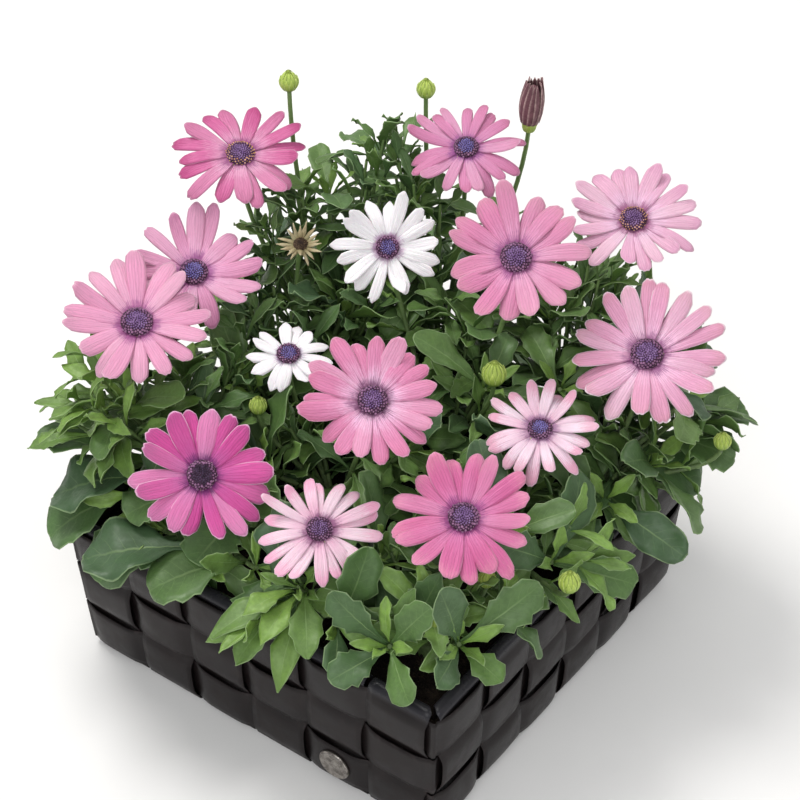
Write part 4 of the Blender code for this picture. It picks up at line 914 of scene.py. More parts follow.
def leafBlade(leaf, draw):
    wide = leaf["length"] > foliage["wideLeaf"]
    teeth = 0 if wide else draw.choice((2, 3, 3, 4) if leaf["length"] > foliage["longLeaf"] else (2, 2, 3))
    depths = (draw.uniform(0.08, 0.30), draw.uniform(0.08, 0.30))
    phase = draw.uniform(0, 6.28)
    shares = bladeShares(teeth, leaf["length"] < foliage["smallLeaf"])
    columns = 7 if leaf["length"] > foliage["smallLeaf"] else 5
    waviness = leaf["wave"] * (2.0 if wide else 0.5)
    quilting = 0.00050 if wide else 0.00025
    points, uv = [], []
    for share in shares:
        for c in range(columns):
            side = sideShare(c, columns)
            reach = marginAt(teeth, depths[0 if side < 0 else 1], phase, share)
            margin = 1 + (reach - 1) * abs(side) ** 2
            crease = -0.00040 * max(0.0, 1 - abs(side) * 2.6) * min(1, 4 * (1 - share))
            quilt = quilting * math.sin(38 * share + 3.2 * abs(side)) * (1 - abs(side)) * min(1, 3 * share)
            edge = waviness * math.sin(17 * share + phase + 2 * side) * side * side * min(1, 2 * share)
            points.append(leafPoint(leaf, share, side * margin, crease + quilt + edge))
            uv.append((0.5 + 0.5 * side, share))
    return points, gridFaces(len(shares), columns), uv


def leafTriangles(leaf, widen=1.0):
    points = []
    for share in (0.16, 0.40, 0.62, 0.82, 0.97):
        points += [leafPoint(leaf, share, -widen), leafPoint(leaf, share, 0), leafPoint(leaf, share, widen)]
    faces = []
    for a, b, c, d in gridFaces(5, 3):
        faces += [(a, b, c), (a, c, d)]
    return points, faces


class Crowd:
    # Everything a new leaf has to stay clear of.
    def __init__(self):
        self.trees = []
        self.lows, self.highs = np.zeros((foliage["crowdSize"], 3)), np.zeros((foliage["crowdSize"], 3))

    def add(self, points, faces):
        block = np.array([tuple(p) for p in points])
        count = len(self.trees)
        self.lows[count], self.highs[count] = block.min(axis=0), block.max(axis=0)
        self.trees.append(BVHTree.FromPolygons(block.tolist(), faces))

    def addSolid(self, name):
        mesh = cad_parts[name].data
        mesh.calc_loop_triangles()
        points = [v.co - basketMiddle for v in mesh.vertices]
        self.add(points, [tuple(t.vertices) for t in mesh.loop_triangles])

    def addPath(self, path, radius):
        points, faces = ringedBody([(p, xWay, yWay, radius) for p in path], 4)
        self.add(points, [face[:3] for face in faces] + [(face[0], face[2], face[3]) for face in faces])

    def meets(self, points, faces):
        block = np.array([tuple(p) for p in points])
        count = len(self.trees)
        below = (self.lows[:count] <= block.max(axis=0)).all(axis=1)
        above = (self.highs[:count] >= block.min(axis=0)).all(axis=1)
        picked = np.nonzero(below & above)[0]
        if not len(picked):
            return False
        tree = BVHTree.FromPolygons(block.tolist(), faces)
        return any(tree.overlap(self.trees[i]) for i in picked)


def makeLeafMaterial():
    look = dict(old="#425c42", mid="#55763c", young="#7fa24a", rib="#98b477", margin="#9fb886",
                shade="#2e4227")
    material, tree, shader, place, patches = newMaterial("leafGreen", 0.48, 0.42, 90.0, 6.0)
    across, length, off = bladeAxes(tree)
    rib = times(tree, ramp(tree, off, 0.032, 0.008), ramp(tree, length, 1.0, 0.15, 0.15, 1.0))
    # Side veins leave the rib slantwise towards the tip.
    slant = calc(tree, "SUBTRACT", length, times(tree, off, 0.42))
    slant = calc(tree, "MULTIPLY_ADD", noiseOn(tree, place, 160.0), 0.05, slant)
    beat = calc(tree, "ABSOLUTE", calc(tree, "SINE", times(tree, slant, 26.0)))
    side = times(tree, ramp(tree, beat, 0.16, 0.02), ramp(tree, off, 0.42, 0.05, 0.0, 0.7))
    veins = calc(tree, "MAXIMUM", rib, times(tree, side, 0.40))
    # Lighter along the margin and at the tip: partly the leaves' own pale margin, partly a painted edge
    # highlight.
    margin = calc(tree, "MAXIMUM", ramp(tree, off, 0.465, 0.495), ramp(tree, length, 0.98, 1.0))
    margin = times(tree, margin, ramp(tree, length, 0.30, 0.45))
    base = blend(tree, attributeOf(tree, "leafTone"), look["old"], look["mid"])
    base = mixIn(tree, base, look["young"], attributeOf(tree, "leafYouth"))
    base = mixIn(tree, base, look["shade"], patches, 0.35)
    base = mixIn(tree, base, look["rib"], veins, 0.5)
    base = mixIn(tree, base, look["margin"], margin, 0.45)
    shader["Subsurface Weight"].default_value = 0.08
    shader["Subsurface Radius"].default_value = (0.0006, 0.0012, 0.0003)
    grain = noiseOn(tree, place, 1400.0, 3.0)
    height = calc(tree, "SUBTRACT", times(tree, grain, 0.25), times(tree, veins, 0.6))
    finishMaterial(tree, shader, base, patches, (0.42, 0.58), height, 0.45, 0.0006)
    return material


def byFrontCorner(tip, below, beyond, fromX):
    # Whether a leaf's tip hangs over the rim near the basket's front corner.
    overFront = tip.y < -beyond and tip.x > fromX
    overSide = tip.x > beyond and tip.y < -0.03
    return tip.z < below and (overFront or overSide)


def solidWhorls(number, paths):
    # The whorls of a leafy stem's solid: path, share, count, size, spread, breadth.
    whorls = []
    for kind, path, data in paths:
        if kind == "shoot":
            low, high = data["leaves"]
            whorls.append((path, 1.0, high, data["size"], 58, data["broad"]))
            if low:
                whorls.append((path, 0.58, low, data["size"], 74, data["broad"]))
    x, y = leafyStems[number]["foot"]
    top = Vector((x, y, soilLevel(x, y) + growth["stockRise"] - 0.0015))
    count = growth["frontLow"] if y < 0 else growth["backLow"]
    return whorls + [([top - Vector((0, 0, 0.004)), top], 1.0, count, 1.15, 74, 0.95)]


def matchedLeaves(plants):
    # The leaves that the solids have, read off by where their tips lie.
    draw = random.Random(growth["seed"])
    found = [[] for _ in plants]
    for number, paths in enumerate(plants):
        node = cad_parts[f"leafy_stem_{number + 1}"].data
        tree = KDTree(len(node.vertices))
        for i, vertex in enumerate(node.vertices):
            tree.insert(vertex.co - basketMiddle, i)
        tree.balance()
        for path, *whorl in solidWhorls(number, paths):
            for tries in whorlLeaves(path, *whorl, draw):
                for leaf in tries:
                    tip = leafPoint(leaf, 1, 0)
                    if tree.find(tip)[2] >= foliage["sameTip"]:
                        continue
                    leaf["youth"] = 0.25 if path[-1].z > foliage["youngFrom"] else 0.05
                    if byFrontCorner(tip, *cornerOfSolids):
                        for key, share in cutBack.items():
                            leaf[key] *= share
                    found[number].append(leaf)
                    break
    return found


def plannedLeaves(plants, sprayPlants, draw):
    # Each smaller leaf that is tried, as (plant, its ways, youth).
    planned = []
    for number, paths in enumerate(plants):
        for kind, path, data in paths:
            scale, widen = (data["size"], data["broad"]) if kind == "shoot" else (1.0, 1.0)
            for share, count, size, spread, broad, youth in whorlPlans[kind]:
                whorl = whorlLeaves(path, share, count, size * scale, spread, broad * widen, draw)
                planned += [(number, ways, youth) for ways in whorl]
    for owner, path, size, broad, youth in sprayPlants:
        spiral = spiralLeaves(path, foliage["sprayLeaves"], size, broad, draw)
        planned += [(owner, ways, youth * (0.35 + 0.65 * k / len(spiral))) for k, ways in enumerate(spiral)]
    return planned


def extraLeaves(plants, sprayPlants, found):
    # Smaller leaves that fill the plant out, each kept clear of what is there.
    draw = random.Random(foliage["extraSeed"])
    crowd = Crowd()
    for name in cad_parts:
        if not name.startswith("leafy"):
            crowd.addSolid(name)
    rims = [[] for _ in found]
    for *shape, owner, youth in rimLeaves:
        for leaf in rimLeaf(*shape, youth, draw):
            if not crowd.meets(*leafTriangles(leaf)):
                rims[owner].append(leaf)
                crowd.add(*leafTriangles(leaf))
                break
    clear = [[leaf for leaf in leaves if not crowd.meets(*leafTriangles(leaf))] for leaves in found]
    for leaf in [leaf for leaves in clear for leaf in leaves]:
        crowd.add(*leafTriangles(leaf))
    for kind, path, data in [stem for paths in plants for stem in paths]:
        crowd.addPath(path, foliage["stalkRadius"])
    for owner, path, *rest in sprayPlants:
        crowd.addPath(path, foliage["sprayRadius"])
    found[:] = [rim + leaves for rim, leaves in zip(rims, clear)]
    added = 0
    for number, ways, youth in plannedLeaves(plants, sprayPlants, draw):
        for leaf in ways:
            leaf["pointed"] = foliage["pointed"]
            root = leaf["root"]
            tooLow = root.z < soilLevel(root.x, root.y) + foliage["overSoil"]
            if tooLow or byFrontCorner(leafPoint(leaf, 1, 0), *cornerOfExtras):
                continue
            if crowd.meets(*leafTriangles(leaf, foliage["clearShare"])):
                continue
            leaf["youth"] = youth
            found[number].append(leaf)
            crowd.add(*leafTriangles(leaf))
            added += 1
            break
    return added


def makeLeaves(found, material):
    draw = random.Random(foliage["bladeSeed"])
    for number, leaves in enumerate(found, 1):
        shapes = Shapes()
        for leaf in leaves:
            points, faces, uv = leafBlade(leaf, draw)
            wide = leaf["length"] > foliage["wideLeaf"]
            tone = draw.uniform(0.0, 0.25) if wide else draw.uniform(0.35, 1.0)
            youth = min(1.0, max(0.0, leaf["youth"] + draw.uniform(-0.15, 0.2)))
            shapes.add(points, faces, uv, leafTone=tone, leafYouth=0.1 * youth if wide else youth)
        print("leaves", number, len(leaves))
        shapes.piece(f"leaves_{number}", material, "leaf_green", [f"leafy_stem_{number}"],
                     foliage["thickness"])


# Stems, green cups and buds

def makeStemMaterial():
    look = dict(green="#5f7a45", pale="#7f9a5c", dull="#4c5d3a")
    material, tree, shader, place, patches = newMaterial("stemGreen", 0.5, 0.4, 70.0, 8.0)
    level = addNode(tree, "ShaderNodeSeparateXYZ", {0: place}).outputs[2]
    colour = blend(tree, ramp(tree, level, 0.09, 0.20), look["dull"], look["green"])
    colour = mixIn(tree, colour, look["pale"], patches, 0.55)
    finishMaterial(tree, shader, colour, patches, (0.45, 0.6), noiseOn(tree, place, 1200.0), 0.3, 0.0005)
    return material


def makeBudMaterial():
    look = dict(deep="#76963c", light="#bfd362", edge="#dce69e")
    material, tree, shader, place, patches = newMaterial("budGreen", 0.5, 0.4, 300.0, 4.0)
    across, length, off = bladeAxes(tree)
    colour = blend(tree, length, look["deep"], look["light"])
    colour = mixIn(tree, colour, look["edge"], ramp(tree, off, 0.36, 0.5), 0.6)
    colour = mixIn(tree, colour, look["deep"], patches, 0.3)
    finishMaterial(tree, shader, colour, patches, (0.45, 0.62), patches, 0.3, 0.0005)
    return material


def stemTree():
    # Sweeps a round section along the curves it is given, by their own radius.
    tree, given, stems = newGroup("stemSweep", [("Curves", "Geometry", None), ("Radius", "Float", 0.0013),
                                                ("Sides", "Int", 9), ("Material", "Material", None)],
                                  ("Stems", "Geometry"), "GeometryNodeTree")
    section = addNode(tree, "GeometryNodeCurvePrimitiveCircle",
                      {"Resolution": given["Sides"], "Radius": given["Radius"]})
    sweep = addNode(tree, "GeometryNodeCurveToMesh",
                    {"Curve": given["Curves"], "Profile Curve": section, "Fill Caps": True})
    if "Scale" in sweep.inputs:
        feed(tree, addNode(tree, "GeometryNodeInputRadius"), sweep.inputs["Scale"])
    smooth = addNode(tree, "GeometryNodeSetShadeSmooth", {0: sweep})
    feed(tree, painted(tree, realized(tree, smooth), given["Material"]), stems)
    return tree


def makeStems(plants, sprayPlants, material):
    sweep = stemTree()
    for number, paths in enumerate(plants):
        x, y = leafyStems[number]["foot"]
        ground, rise = soilLevel(x, y), growth["stockRise"]
        levels = (ground - growth["holeDepth"] + 0.0008, ground, ground + 0.7 * rise, ground + rise)
        lines = [([Vector((x, y, z)) for z in levels], [3.6, 3.8, 3.6, 2.4])]
        for kind, path, data in paths:
            lines.append((path, [1.15 - 0.15 * i / (len(path) - 1) for i in range(len(path))]))
        for owner, path, *rest in sprayPlants:
            if owner == number:
                lines.append((path, [0.85 - 0.2 * i / (len(path) - 1) for i in range(len(path))]))
        curve = bpy.data.curves.new(f"stem lines {number + 1}", "CURVE")
        curve.dimensions = "3D"
        for path, widths in lines:
            spline = curve.splines.new("POLY")
            spline.points.add(len(path) - 1)
            for point, place, wide in zip(spline.points, path, widths):
                point.co = (*(place + basketMiddle), 1.0)
                point.radius = wide
        host = addHelper(curve.name, curve, sweep, Radius=growth["stalkRadius"], Sides=9, Material=material)
        keepHelper(host, f"stems_{number + 1}", [f"leafy_stem_{number + 1}"])


cup = dict(bracts=13, sides=20, bractWidth=0.0030, proud=0.00035, seed=11, budBracts=11, budSides=16,
           bractThickness=0.0003)


def blade(points, widths, across, normals, curl, columns=5):
    # A narrow pointed blade along points, as wide as widths.
    grid, uv = [], []
    for r, (p, wide, normal) in enumerate(zip(points, widths, normals)):
        for c in range(columns):
            s = sideShare(c, columns)
            grid.append(p + across * s * wide / 2 + normal * curl * wide * (1 - s * s))
            uv.append((c / (columns - 1), r / (len(points) - 1)))
    return grid, gridFaces(len(points), columns), uv


def bractsAround(shapes, place, profile, count, width, draw, flare):
    # Two layers of pointed bracts that lie on a body of revolution given as (height, radius).
    steps = 7
    for layer in range(2):
        for k in range(count):
            out, across = spoke(2 * math.pi * (k + 0.5 * layer + draw.uniform(-0.12, 0.12)) / count)
            reach = (0.72 if layer == 0 else 1.0) * draw.uniform(0.92, 1.04)
            points, widths = [], []
            for i in range(steps):
                t = i / (steps - 1)
                spot = min(t * reach, 0.999) * (len(profile) - 1)
                j = min(int(spot), len(profile) - 2)
                f = spot - j
                height = profile[j][0] * (1 - f) + profile[j + 1][0] * f
                radius = profile[j][1] * (1 - f) + profile[j + 1][1] * f
                rise = cup["proud"] * (1.5 - layer) + flare * t ** 3
                points.append(out * (radius + rise) + Vector((0, 0, height)))
                belly = 0.75 + 0.35 * math.sin(math.pi * i / (steps - 1))
                widths.append(width * belly * (1 - t ** 3 * 0.97))
            grid, faces, uv = blade(points, widths, across, [out] * steps, 0.10)
            shapes.add([place @ p for p in grid], faces, uv)


def addCup(bodies, bracts, head, draw):
    # The green cup that a flower sits on.
    closed = head is closedBloom
    place = headFrame(head)
    top, wide = -0.0006, 0.0042 if closed else 0.175 * head["radius"]
    profile = [(-0.0098, 0.0014), (-0.0086, 0.0030), (-0.0062, 0.72 * wide), (-0.0034, 0.94 * wide),
               (top, wide)]
    points, faces = turnedBody(place, profile, cup["sides"])
    bodies.add(points, faces, [(0.5, 0.3)] * len(points))
    lip, flare = profile[1:] + [(top + 0.0001, wide + 0.0012)], 0.0022
    if closed:
        lip, flare = profile + [(0.0022, 0.0049), (0.0048, 0.0056)], 0.0003
    bractsAround(bracts, place, lip, cup["bracts"], cup["bractWidth"], draw, flare * 0.3)


def addBud(bodies, bracts, tip, size, draw):
    place = Matrix.Translation(tip)
    profile = []
    for i in range(9):
        t = i / 8
        swell = 0.30 + 0.72 * math.sin(math.pi * min(1.0, 0.10 + 0.86 * t)) ** 0.75
        profile.append((-0.06 * size + 2.15 * size * t, size * swell * (1 - 0.62 * t ** 4) * 0.93))
    crown = (profile[-1][0] + 0.05 * size, 0.3 * size)
    points, faces = turnedBody(place, profile + [crown], cup["budSides"])
    bodies.add(points, faces, [(0.5, 0.75)] * len(points))
    bractsAround(bracts, place, profile, cup["budBracts"], 0.56 * size, draw, 0.10 * size)


def makeCupsAndBuds(plants, material):
    draw = random.Random(cup["seed"])
    for number, paths in enumerate(plants, 1):
        bodies, bracts = Shapes(), Shapes()
        for kind, path, data in paths:
            if kind == "head" and "petals" in data:
                addCup(bodies, bracts, data, draw)
            if kind == "bud":
                addBud(bodies, bracts, path[-1], 0.87 * data["size"], draw)
        if bodies.points:
            covered = [f"leafy_stem_{number}"]
            bodies.piece(f"green_cups_{number}", material, "leaf_green", covered)
            bracts.piece(f"bracts_{number}", material, "leaf_green", covered, cup["bractThickness"])


# Flowers

def makePetalMaterial(key, bloom):
    material, tree, shader, place, patches = newMaterial(f"petals {key}", 0.55, 0.3, 120.0, 5.0)
    across, length, off = bladeAxes(tree)
    tone = attributeOf(tree, "petalTone")
    veins = useGroup(tree, veinGroup, Across=across, Along=length, Tone=tone, Count=7.0)
    fineVeins = useGroup(tree, veinGroup, Across=across, Along=length, Tone=tone, Count=17.0)
    wander = calc(tree, "MULTIPLY_ADD", calc(tree, "SUBTRACT", patches, 0.5), 0.10, length)
    streaks = calc(tree, "MULTIPLY_ADD", fineVeins, 0.16, calc(tree, "MULTIPLY_ADD", veins, 0.10, wander))
    colour = blend(tree, ramp(tree, streaks, 0.18, 0.66), bloom["inner"], bloom["main"])
    tipFrom = bloom.get("tipFrom", 0.80)
    colour = mixIn(tree, colour, bloom["tip"], ramp(tree, streaks, tipFrom, tipFrom + 0.20))
    dark = "#b9a3bd" if key in "ci" else tuple(c * 0.55 for c in tint(bloom["main"])[:3]) + (1.0,)
    line = calc(tree, "MAXIMUM", times(tree, veins, 0.8), times(tree, fineVeins, 0.45))
    colour = mixIn(tree, colour, dark, line, bloom.get("veins", 0.34))
    colour = mixIn(tree, colour, bloom["edge"], ramp(tree, tone, 0.35, 1.0, 0.0, 0.30))
    colour = mixIn(tree, colour, bloom["tip"], ramp(tree, tone, 0.40, 0.0, 0.0, 0.30))
    # Lighter along the sides and at the tip: partly the petals' own paler margin, partly a painted edge
    # highlight.
    rim = calc(tree, "MAXIMUM", ramp(tree, off, 0.44, 0.49), ramp(tree, length, 0.965, 0.995))
    rim = times(tree, rim, ramp(tree, length, 0.35, 0.6))
    colour = mixIn(tree, colour, bloom["edge"], rim, bloom.get("edgeStrength", 0.5))
    # The purple ring round the disc runs out along the veins.
    reach = bloom.get("throatReach", 0.175)
    spread = calc(tree, "SUBTRACT", wander, times(tree, veins, 0.06))
    colour = mixIn(tree, colour, bloom["throat"], ramp(tree, spread, reach + 0.10, reach - 0.09), 0.82)
    shader["Subsurface Weight"].default_value = 0.10
    shader["Subsurface Radius"].default_value = (0.0012, 0.0005, 0.0008)
    shader["Sheen Weight"].default_value = 0.08
    height = calc(tree, "ADD", times(tree, veins, -0.7), times(tree, fineVeins, -0.3))
    finishMaterial(tree, shader, colour, patches, (0.44, 0.60), height, 0.55, 0.0006)
    return material


petal = dict(thickness=0.00030, stations=14, columns=9, centreShare=0.2, foot=0.12, layerLift=0.0006,
             slim=0.83, white="ci")


def petalWidth(t, base):
    # Share of the full width along a petal: t runs from the middle of the flower out to the tip.
    rise = min(1.0, max(0.0, (t - petal["foot"]) / 0.58))
    body = base + (1 - base) * (1 - (1 - rise) ** 1.7)
    return body * (1 - 0.34 * max(0.0, (t - 0.74) / 0.26) ** 2)


def makePetals(key, bloom):
    draw = random.Random(f"petals {key}")
    own = random.Random(f"petal looks {key}")
    place = headFrame(bloom)
    radius, count, width = bloom["radius"], bloom["petals"], bloom["width"]
    centre = petal["centreShare"] * radius
    slope = math.tan(math.radians(bloom["cup"]))
    slim = bloom.get("slim", petal["slim"])
    point = bloom.get("point", 2.2)
    start = draw.uniform(0, 360)
    rows, columns, foot = petal["stations"], petal["columns"], petal["foot"]
    shapes = Shapes()
    for i in range(count):
        outward, side = spoke(math.radians(start + 360 * i / count) + own.uniform(-0.065, 0.065))
        reach = radius * draw.uniform(0.94, 1.02) * own.uniform(0.89, 1.05)
        broad = width * draw.uniform(0.92, 1.05) * slim * own.uniform(0.84, 1.14)
        lift = draw.uniform(0.0, 0.0012)
        layer = 1 if i % 2 else -1
        odd = count % 2 and i == count - 1
        tip = own.uniform(-0.0105, 0.0075)
        twist = own.uniform(-0.34, 0.34)
        swerve = own.uniform(-0.0020, 0.0020)
        channel = own.uniform(0.00045, 0.00090)
        edgeLift = own.uniform(-0.34, 0.10)
        notch = 0.034 * own.random() ** 2.2
        base = min(0.55, 0.2 * radius * 2 * math.pi / count / broad * 1.05)
        rounding = 0.62 * broad / reach * own.uniform(0.45, 0.75) * (1.5 if point < 2 else 1.0)
        points, uv = [], []
        for r in range(rows):
            step = (r / (rows - 1)) ** 0.92
            for c in range(columns):
                s = sideShare(c, columns)
                dent = notch * (0.5 + 0.5 * math.cos(2 * math.pi * s)) * (1 - s * s)
                end = 1 - rounding * abs(s) ** point - dent
                t = foot + (end - foot) * step
                wide = broad * petalWidth(t, base)
                if odd:
                    wide = min(wide, t * radius * 2 * math.pi / count - 0.4 * (broad - 0.0085))
                rise = slope * (t * reach - centre) - 0.05 * radius * t ** 3
                rise += layer * petal["layerLift"] * min(1.0, t * 2.2)
                if not odd:
                    rise += layer * lift * max(0.0, t - 0.42)
                rise += tip * max(0.0, t - 0.40) ** 2 * 2.2
                groove = channel * (math.cos(3 * math.pi * s) * 0.5 - 0.5)
                groove = groove * min(1, 5 * (t - foot)) * (1 - t ** 8)
                rise += groove + edgeLift * wide * s * s * 0.5 + twist * s * wide / 2 * t
                sideStep = s * wide / 2 + swerve * t * t * 2
                points.append(outward * (t * reach) + side * sideStep + Vector((0, 0, rise)))
                uv.append((c / (columns - 1), step))
        faces = [tuple(reversed(face)) for face in gridFaces(rows, columns)]
        shapes.add([place @ p for p in points], faces, uv, petalTone=own.uniform(0, 1))
    slotName = "white_petal" if key in petal["white"] else "petal"
    shapes.piece(f"flower_{key}_petals", makePetalMaterial(key, bloom), slotName, [f"bloom_{key}_petals"],
                 petal["thickness"])


def makeSpotMaterial(name, first, second, roughness):
    material, tree, shader, place, patches = newMaterial(name, roughness, 0.3, 420.0, 3.0)
    finishMaterial(tree, shader, blend(tree, patches, first, second), patches, (roughness, roughness - 0.12),
                   patches, 0.4, 0.0004)
    return material


def floretTree():
    # Florets in a spiral over a low dome: closed ones inside, open ones with pollen round the rim.
    tree, given, head = newGroup(
        "floretSpiral",
        [("Dome", "Geometry", None), ("Radius", "Float", 0.0068), ("Height", "Float", 0.0026),
         ("Count", "Int", 120), ("Bud Size", "Float", 0.00052), ("Rim From", "Float", 0.70),
         ("Seed", "Int", 1), ("Dome Material", "Material", None), ("Bud Material", "Material", None),
         ("Tube Material", "Material", None), ("Pollen Material", "Material", None)],
        ("Head", "Geometry"), "GeometryNodeTree")
    line = addNode(tree, "GeometryNodeMeshLine", {"Count": given["Count"]})
    index = addNode(tree, "GeometryNodeInputIndex")
    root = calc(tree, "SQRT", calc(tree, "DIVIDE", calc(tree, "ADD", index, 0.5), given["Count"]))
    spin = times(tree, index, goldenTurn)
    reach = times(tree, root, given["Radius"])
    dome = calc(tree, "SUBTRACT", 1.0, calc(tree, "POWER", root, 2.6))
    place = addNode(tree, "ShaderNodeCombineXYZ", {0: times(tree, reach, calc(tree, "COSINE", spin)),
                                                   1: times(tree, reach, calc(tree, "SINE", spin)),
                                                   2: times(tree, dome, given["Height"])})
    spots = addNode(tree, "GeometryNodeSetPosition", {"Geometry": line, "Position": place})
    points = addNode(tree, "GeometryNodeMeshToPoints", {"Mesh": spots})
    isRim = calc(tree, "GREATER_THAN", root, given["Rim From"])
    level = addNode(tree, "ShaderNodeVectorMath", {0: place, 1: (1.0, 1.0, 0.0)}, operation="MULTIPLY")
    lifted = addNode(tree, "ShaderNodeVectorMath", {0: level, 1: (0.0, 0.0, 0.0075)}, operation="ADD")
    aim = addNode(tree, "FunctionNodeAlignRotationToVector", {"Vector": lifted}, axis="Z")
    chance = addNode(tree, "FunctionNodeRandomValue", {2: 0.80, 3: 1.20, "Seed": given["Seed"]},
                     data_type="FLOAT")

    def onPoints(shape, chosen):
        values = {"Points": points, "Selection": chosen, "Instance": shape, "Rotation": aim}
        return addNode(tree, "GeometryNodeInstanceOnPoints", dict(values, Scale=chance.outputs[1]))

    ball = "GeometryNodeMeshIcoSphere"
    bud = addNode(tree, ball, {"Subdivisions": 1, "Radius": given["Bud Size"]})
    bud = addNode(tree, "GeometryNodeTransform", {"Geometry": bud, "Scale": (1.0, 1.0, 1.35)})
    tube = addNode(tree, "GeometryNodeMeshCone", {"Vertices": 5, "Depth": 0.0012,
                                                  "Radius Top": times(tree, given["Bud Size"], 1.05),
                                                  "Radius Bottom": times(tree, given["Bud Size"], 0.6)})
    grain = addNode(tree, ball, {"Subdivisions": 1, "Radius": times(tree, given["Bud Size"], 0.58)})
    grain = addNode(tree, "GeometryNodeTransform", {"Geometry": grain, "Translation": (0.0, 0.0, 0.0013)})
    openOne = joined(tree, painted(tree, tube, given["Tube Material"]),
                     painted(tree, grain, given["Pollen Material"]))
    inner = onPoints(painted(tree, bud, given["Bud Material"]), calc(tree, "SUBTRACT", 1.0, isRim))
    outer = onPoints(openOne, isRim)
    everything = joined(tree, painted(tree, given["Dome"], given["Dome Material"]), inner, outer)
    feed(tree, realized(tree, everything), head)
    return tree


# Shares of a flower's or disc's radius, and how many florets a disc has for each metre of its radius.
discForm = dict(share=0.198, height=0.36, rimFrom=0.70, florets=17000, budShare=0.078, spread=0.96,
                base=0.0006, sides=24)


def makeDisc(name, radius, tree, place, materials, replaced, seed, height=discForm["height"],
             rimFrom=discForm["rimFrom"]):
    base, tall = discForm["base"], height * radius
    profile = [(-0.0002, 1.02), (0.0006, 1.04), (0.0012, 0.96), (0.45 * tall + 0.0004, 0.80),
               (0.75 * tall, 0.55), (0.92 * tall, 0.28), (0.96 * tall, 0.05)]
    outline = [(base + z, share * radius) for z, share in profile]
    points, faces = turnedBody(Matrix(), outline, discForm["sides"])
    mesh = bpy.data.meshes.new(name + " dome")
    mesh.from_pydata([tuple(p) for p in points], [], faces)
    mesh.polygons.foreach_set("use_smooth", [True] * len(mesh.polygons))
    for material in materials:
        mesh.materials.append(material)
    host = addHelper(mesh.name, mesh, tree, Radius=discForm["spread"] * radius, Height=tall + base,
                     Count=int(discForm["florets"] * radius), BudSize=discForm["budShare"] * radius,
                     RimFrom=rimFrom, Seed=seed, DomeMaterial=materials[0], BudMaterial=materials[1],
                     TubeMaterial=materials[2], PollenMaterial=materials[3])
    keepHelper(host, name, replaced, Matrix.Translation(basketMiddle) @ place)


def makeClosedBloom():
    look = dict(stripe="#7c545c", pale="#c4a6a2", deep="#5a3a42", sides=16, rows=12, columns=7, seed=23)
    material, tree, shader, place, patches = newMaterial("rolledPetals", 0.6, 0.3, 260.0, 4.0)
    across, along, off = bladeAxes(tree)
    colour = blend(tree, ramp(tree, off, 0.18, 0.46), look["stripe"], look["pale"])
    colour = mixIn(tree, colour, look["deep"], patches, 0.6)
    finishMaterial(tree, shader, colour, patches, (0.5, 0.7), patches, 0.5, 0.0006)
    frameOf = headFrame(closedBloom)
    radius, length, count = closedBloom["radius"], closedBloom["length"], closedBloom["petals"]
    core = ((-0.10, 0.45), (0.02, 0.62), (0.25, 0.76), (0.6, 0.74), (0.84, 0.5), (0.9, 0.1))
    shapes = Shapes()
    shapes.add(*turnedBody(frameOf, [(length * h, radius * r) for h, r in core], look["sides"]))
    shapes.piece("closed_flower_core", material, "closed_petal", ["closed_bloom"])
    draw = random.Random(look["seed"])
    rows, columns = look["rows"], look["columns"]
    shapes = Shapes()
    for k in range(count):
        angle = 2 * math.pi * (k + draw.uniform(-0.1, 0.1)) / count
        long = length * draw.uniform(0.93, 1.08)
        splay = draw.uniform(-0.0002, 0.0016)
        turn = draw.uniform(0.1, 0.5)
        points, uv = [], []
        for r in range(rows):
            t = r / (rows - 1)
            swell = 0.58 + 0.42 * math.sin(math.pi * min(1.0, 0.12 + 0.80 * t)) ** 0.8
            body = radius * swell * (1 - 0.36 * t ** 3) + splay * t ** 5
            wide = 2 * math.pi * radius / count * 1.25 * (0.75 + 0.4 * math.sin(math.pi * t))
            wide = wide * (1 - 0.8 * t ** 8)
            out, side = spoke(angle + turn * t)
            for c in range(columns):
                s = sideShare(c, columns)
                reach = body + 0.0006 * (1 - s * s) - 0.0004 * s
                rise = Vector((0, 0, -0.0022 + (long + 0.0026) * t))
                points.append(frameOf @ (out * reach + side * s * wide / 2 + rise))
                uv.append((c / (columns - 1), t))
        shapes.add(points, gridFaces(rows, columns), uv)
    shapes.piece("closed_flower_petals", material, "closed_petal", ["closed_bloom"], 0.0003)


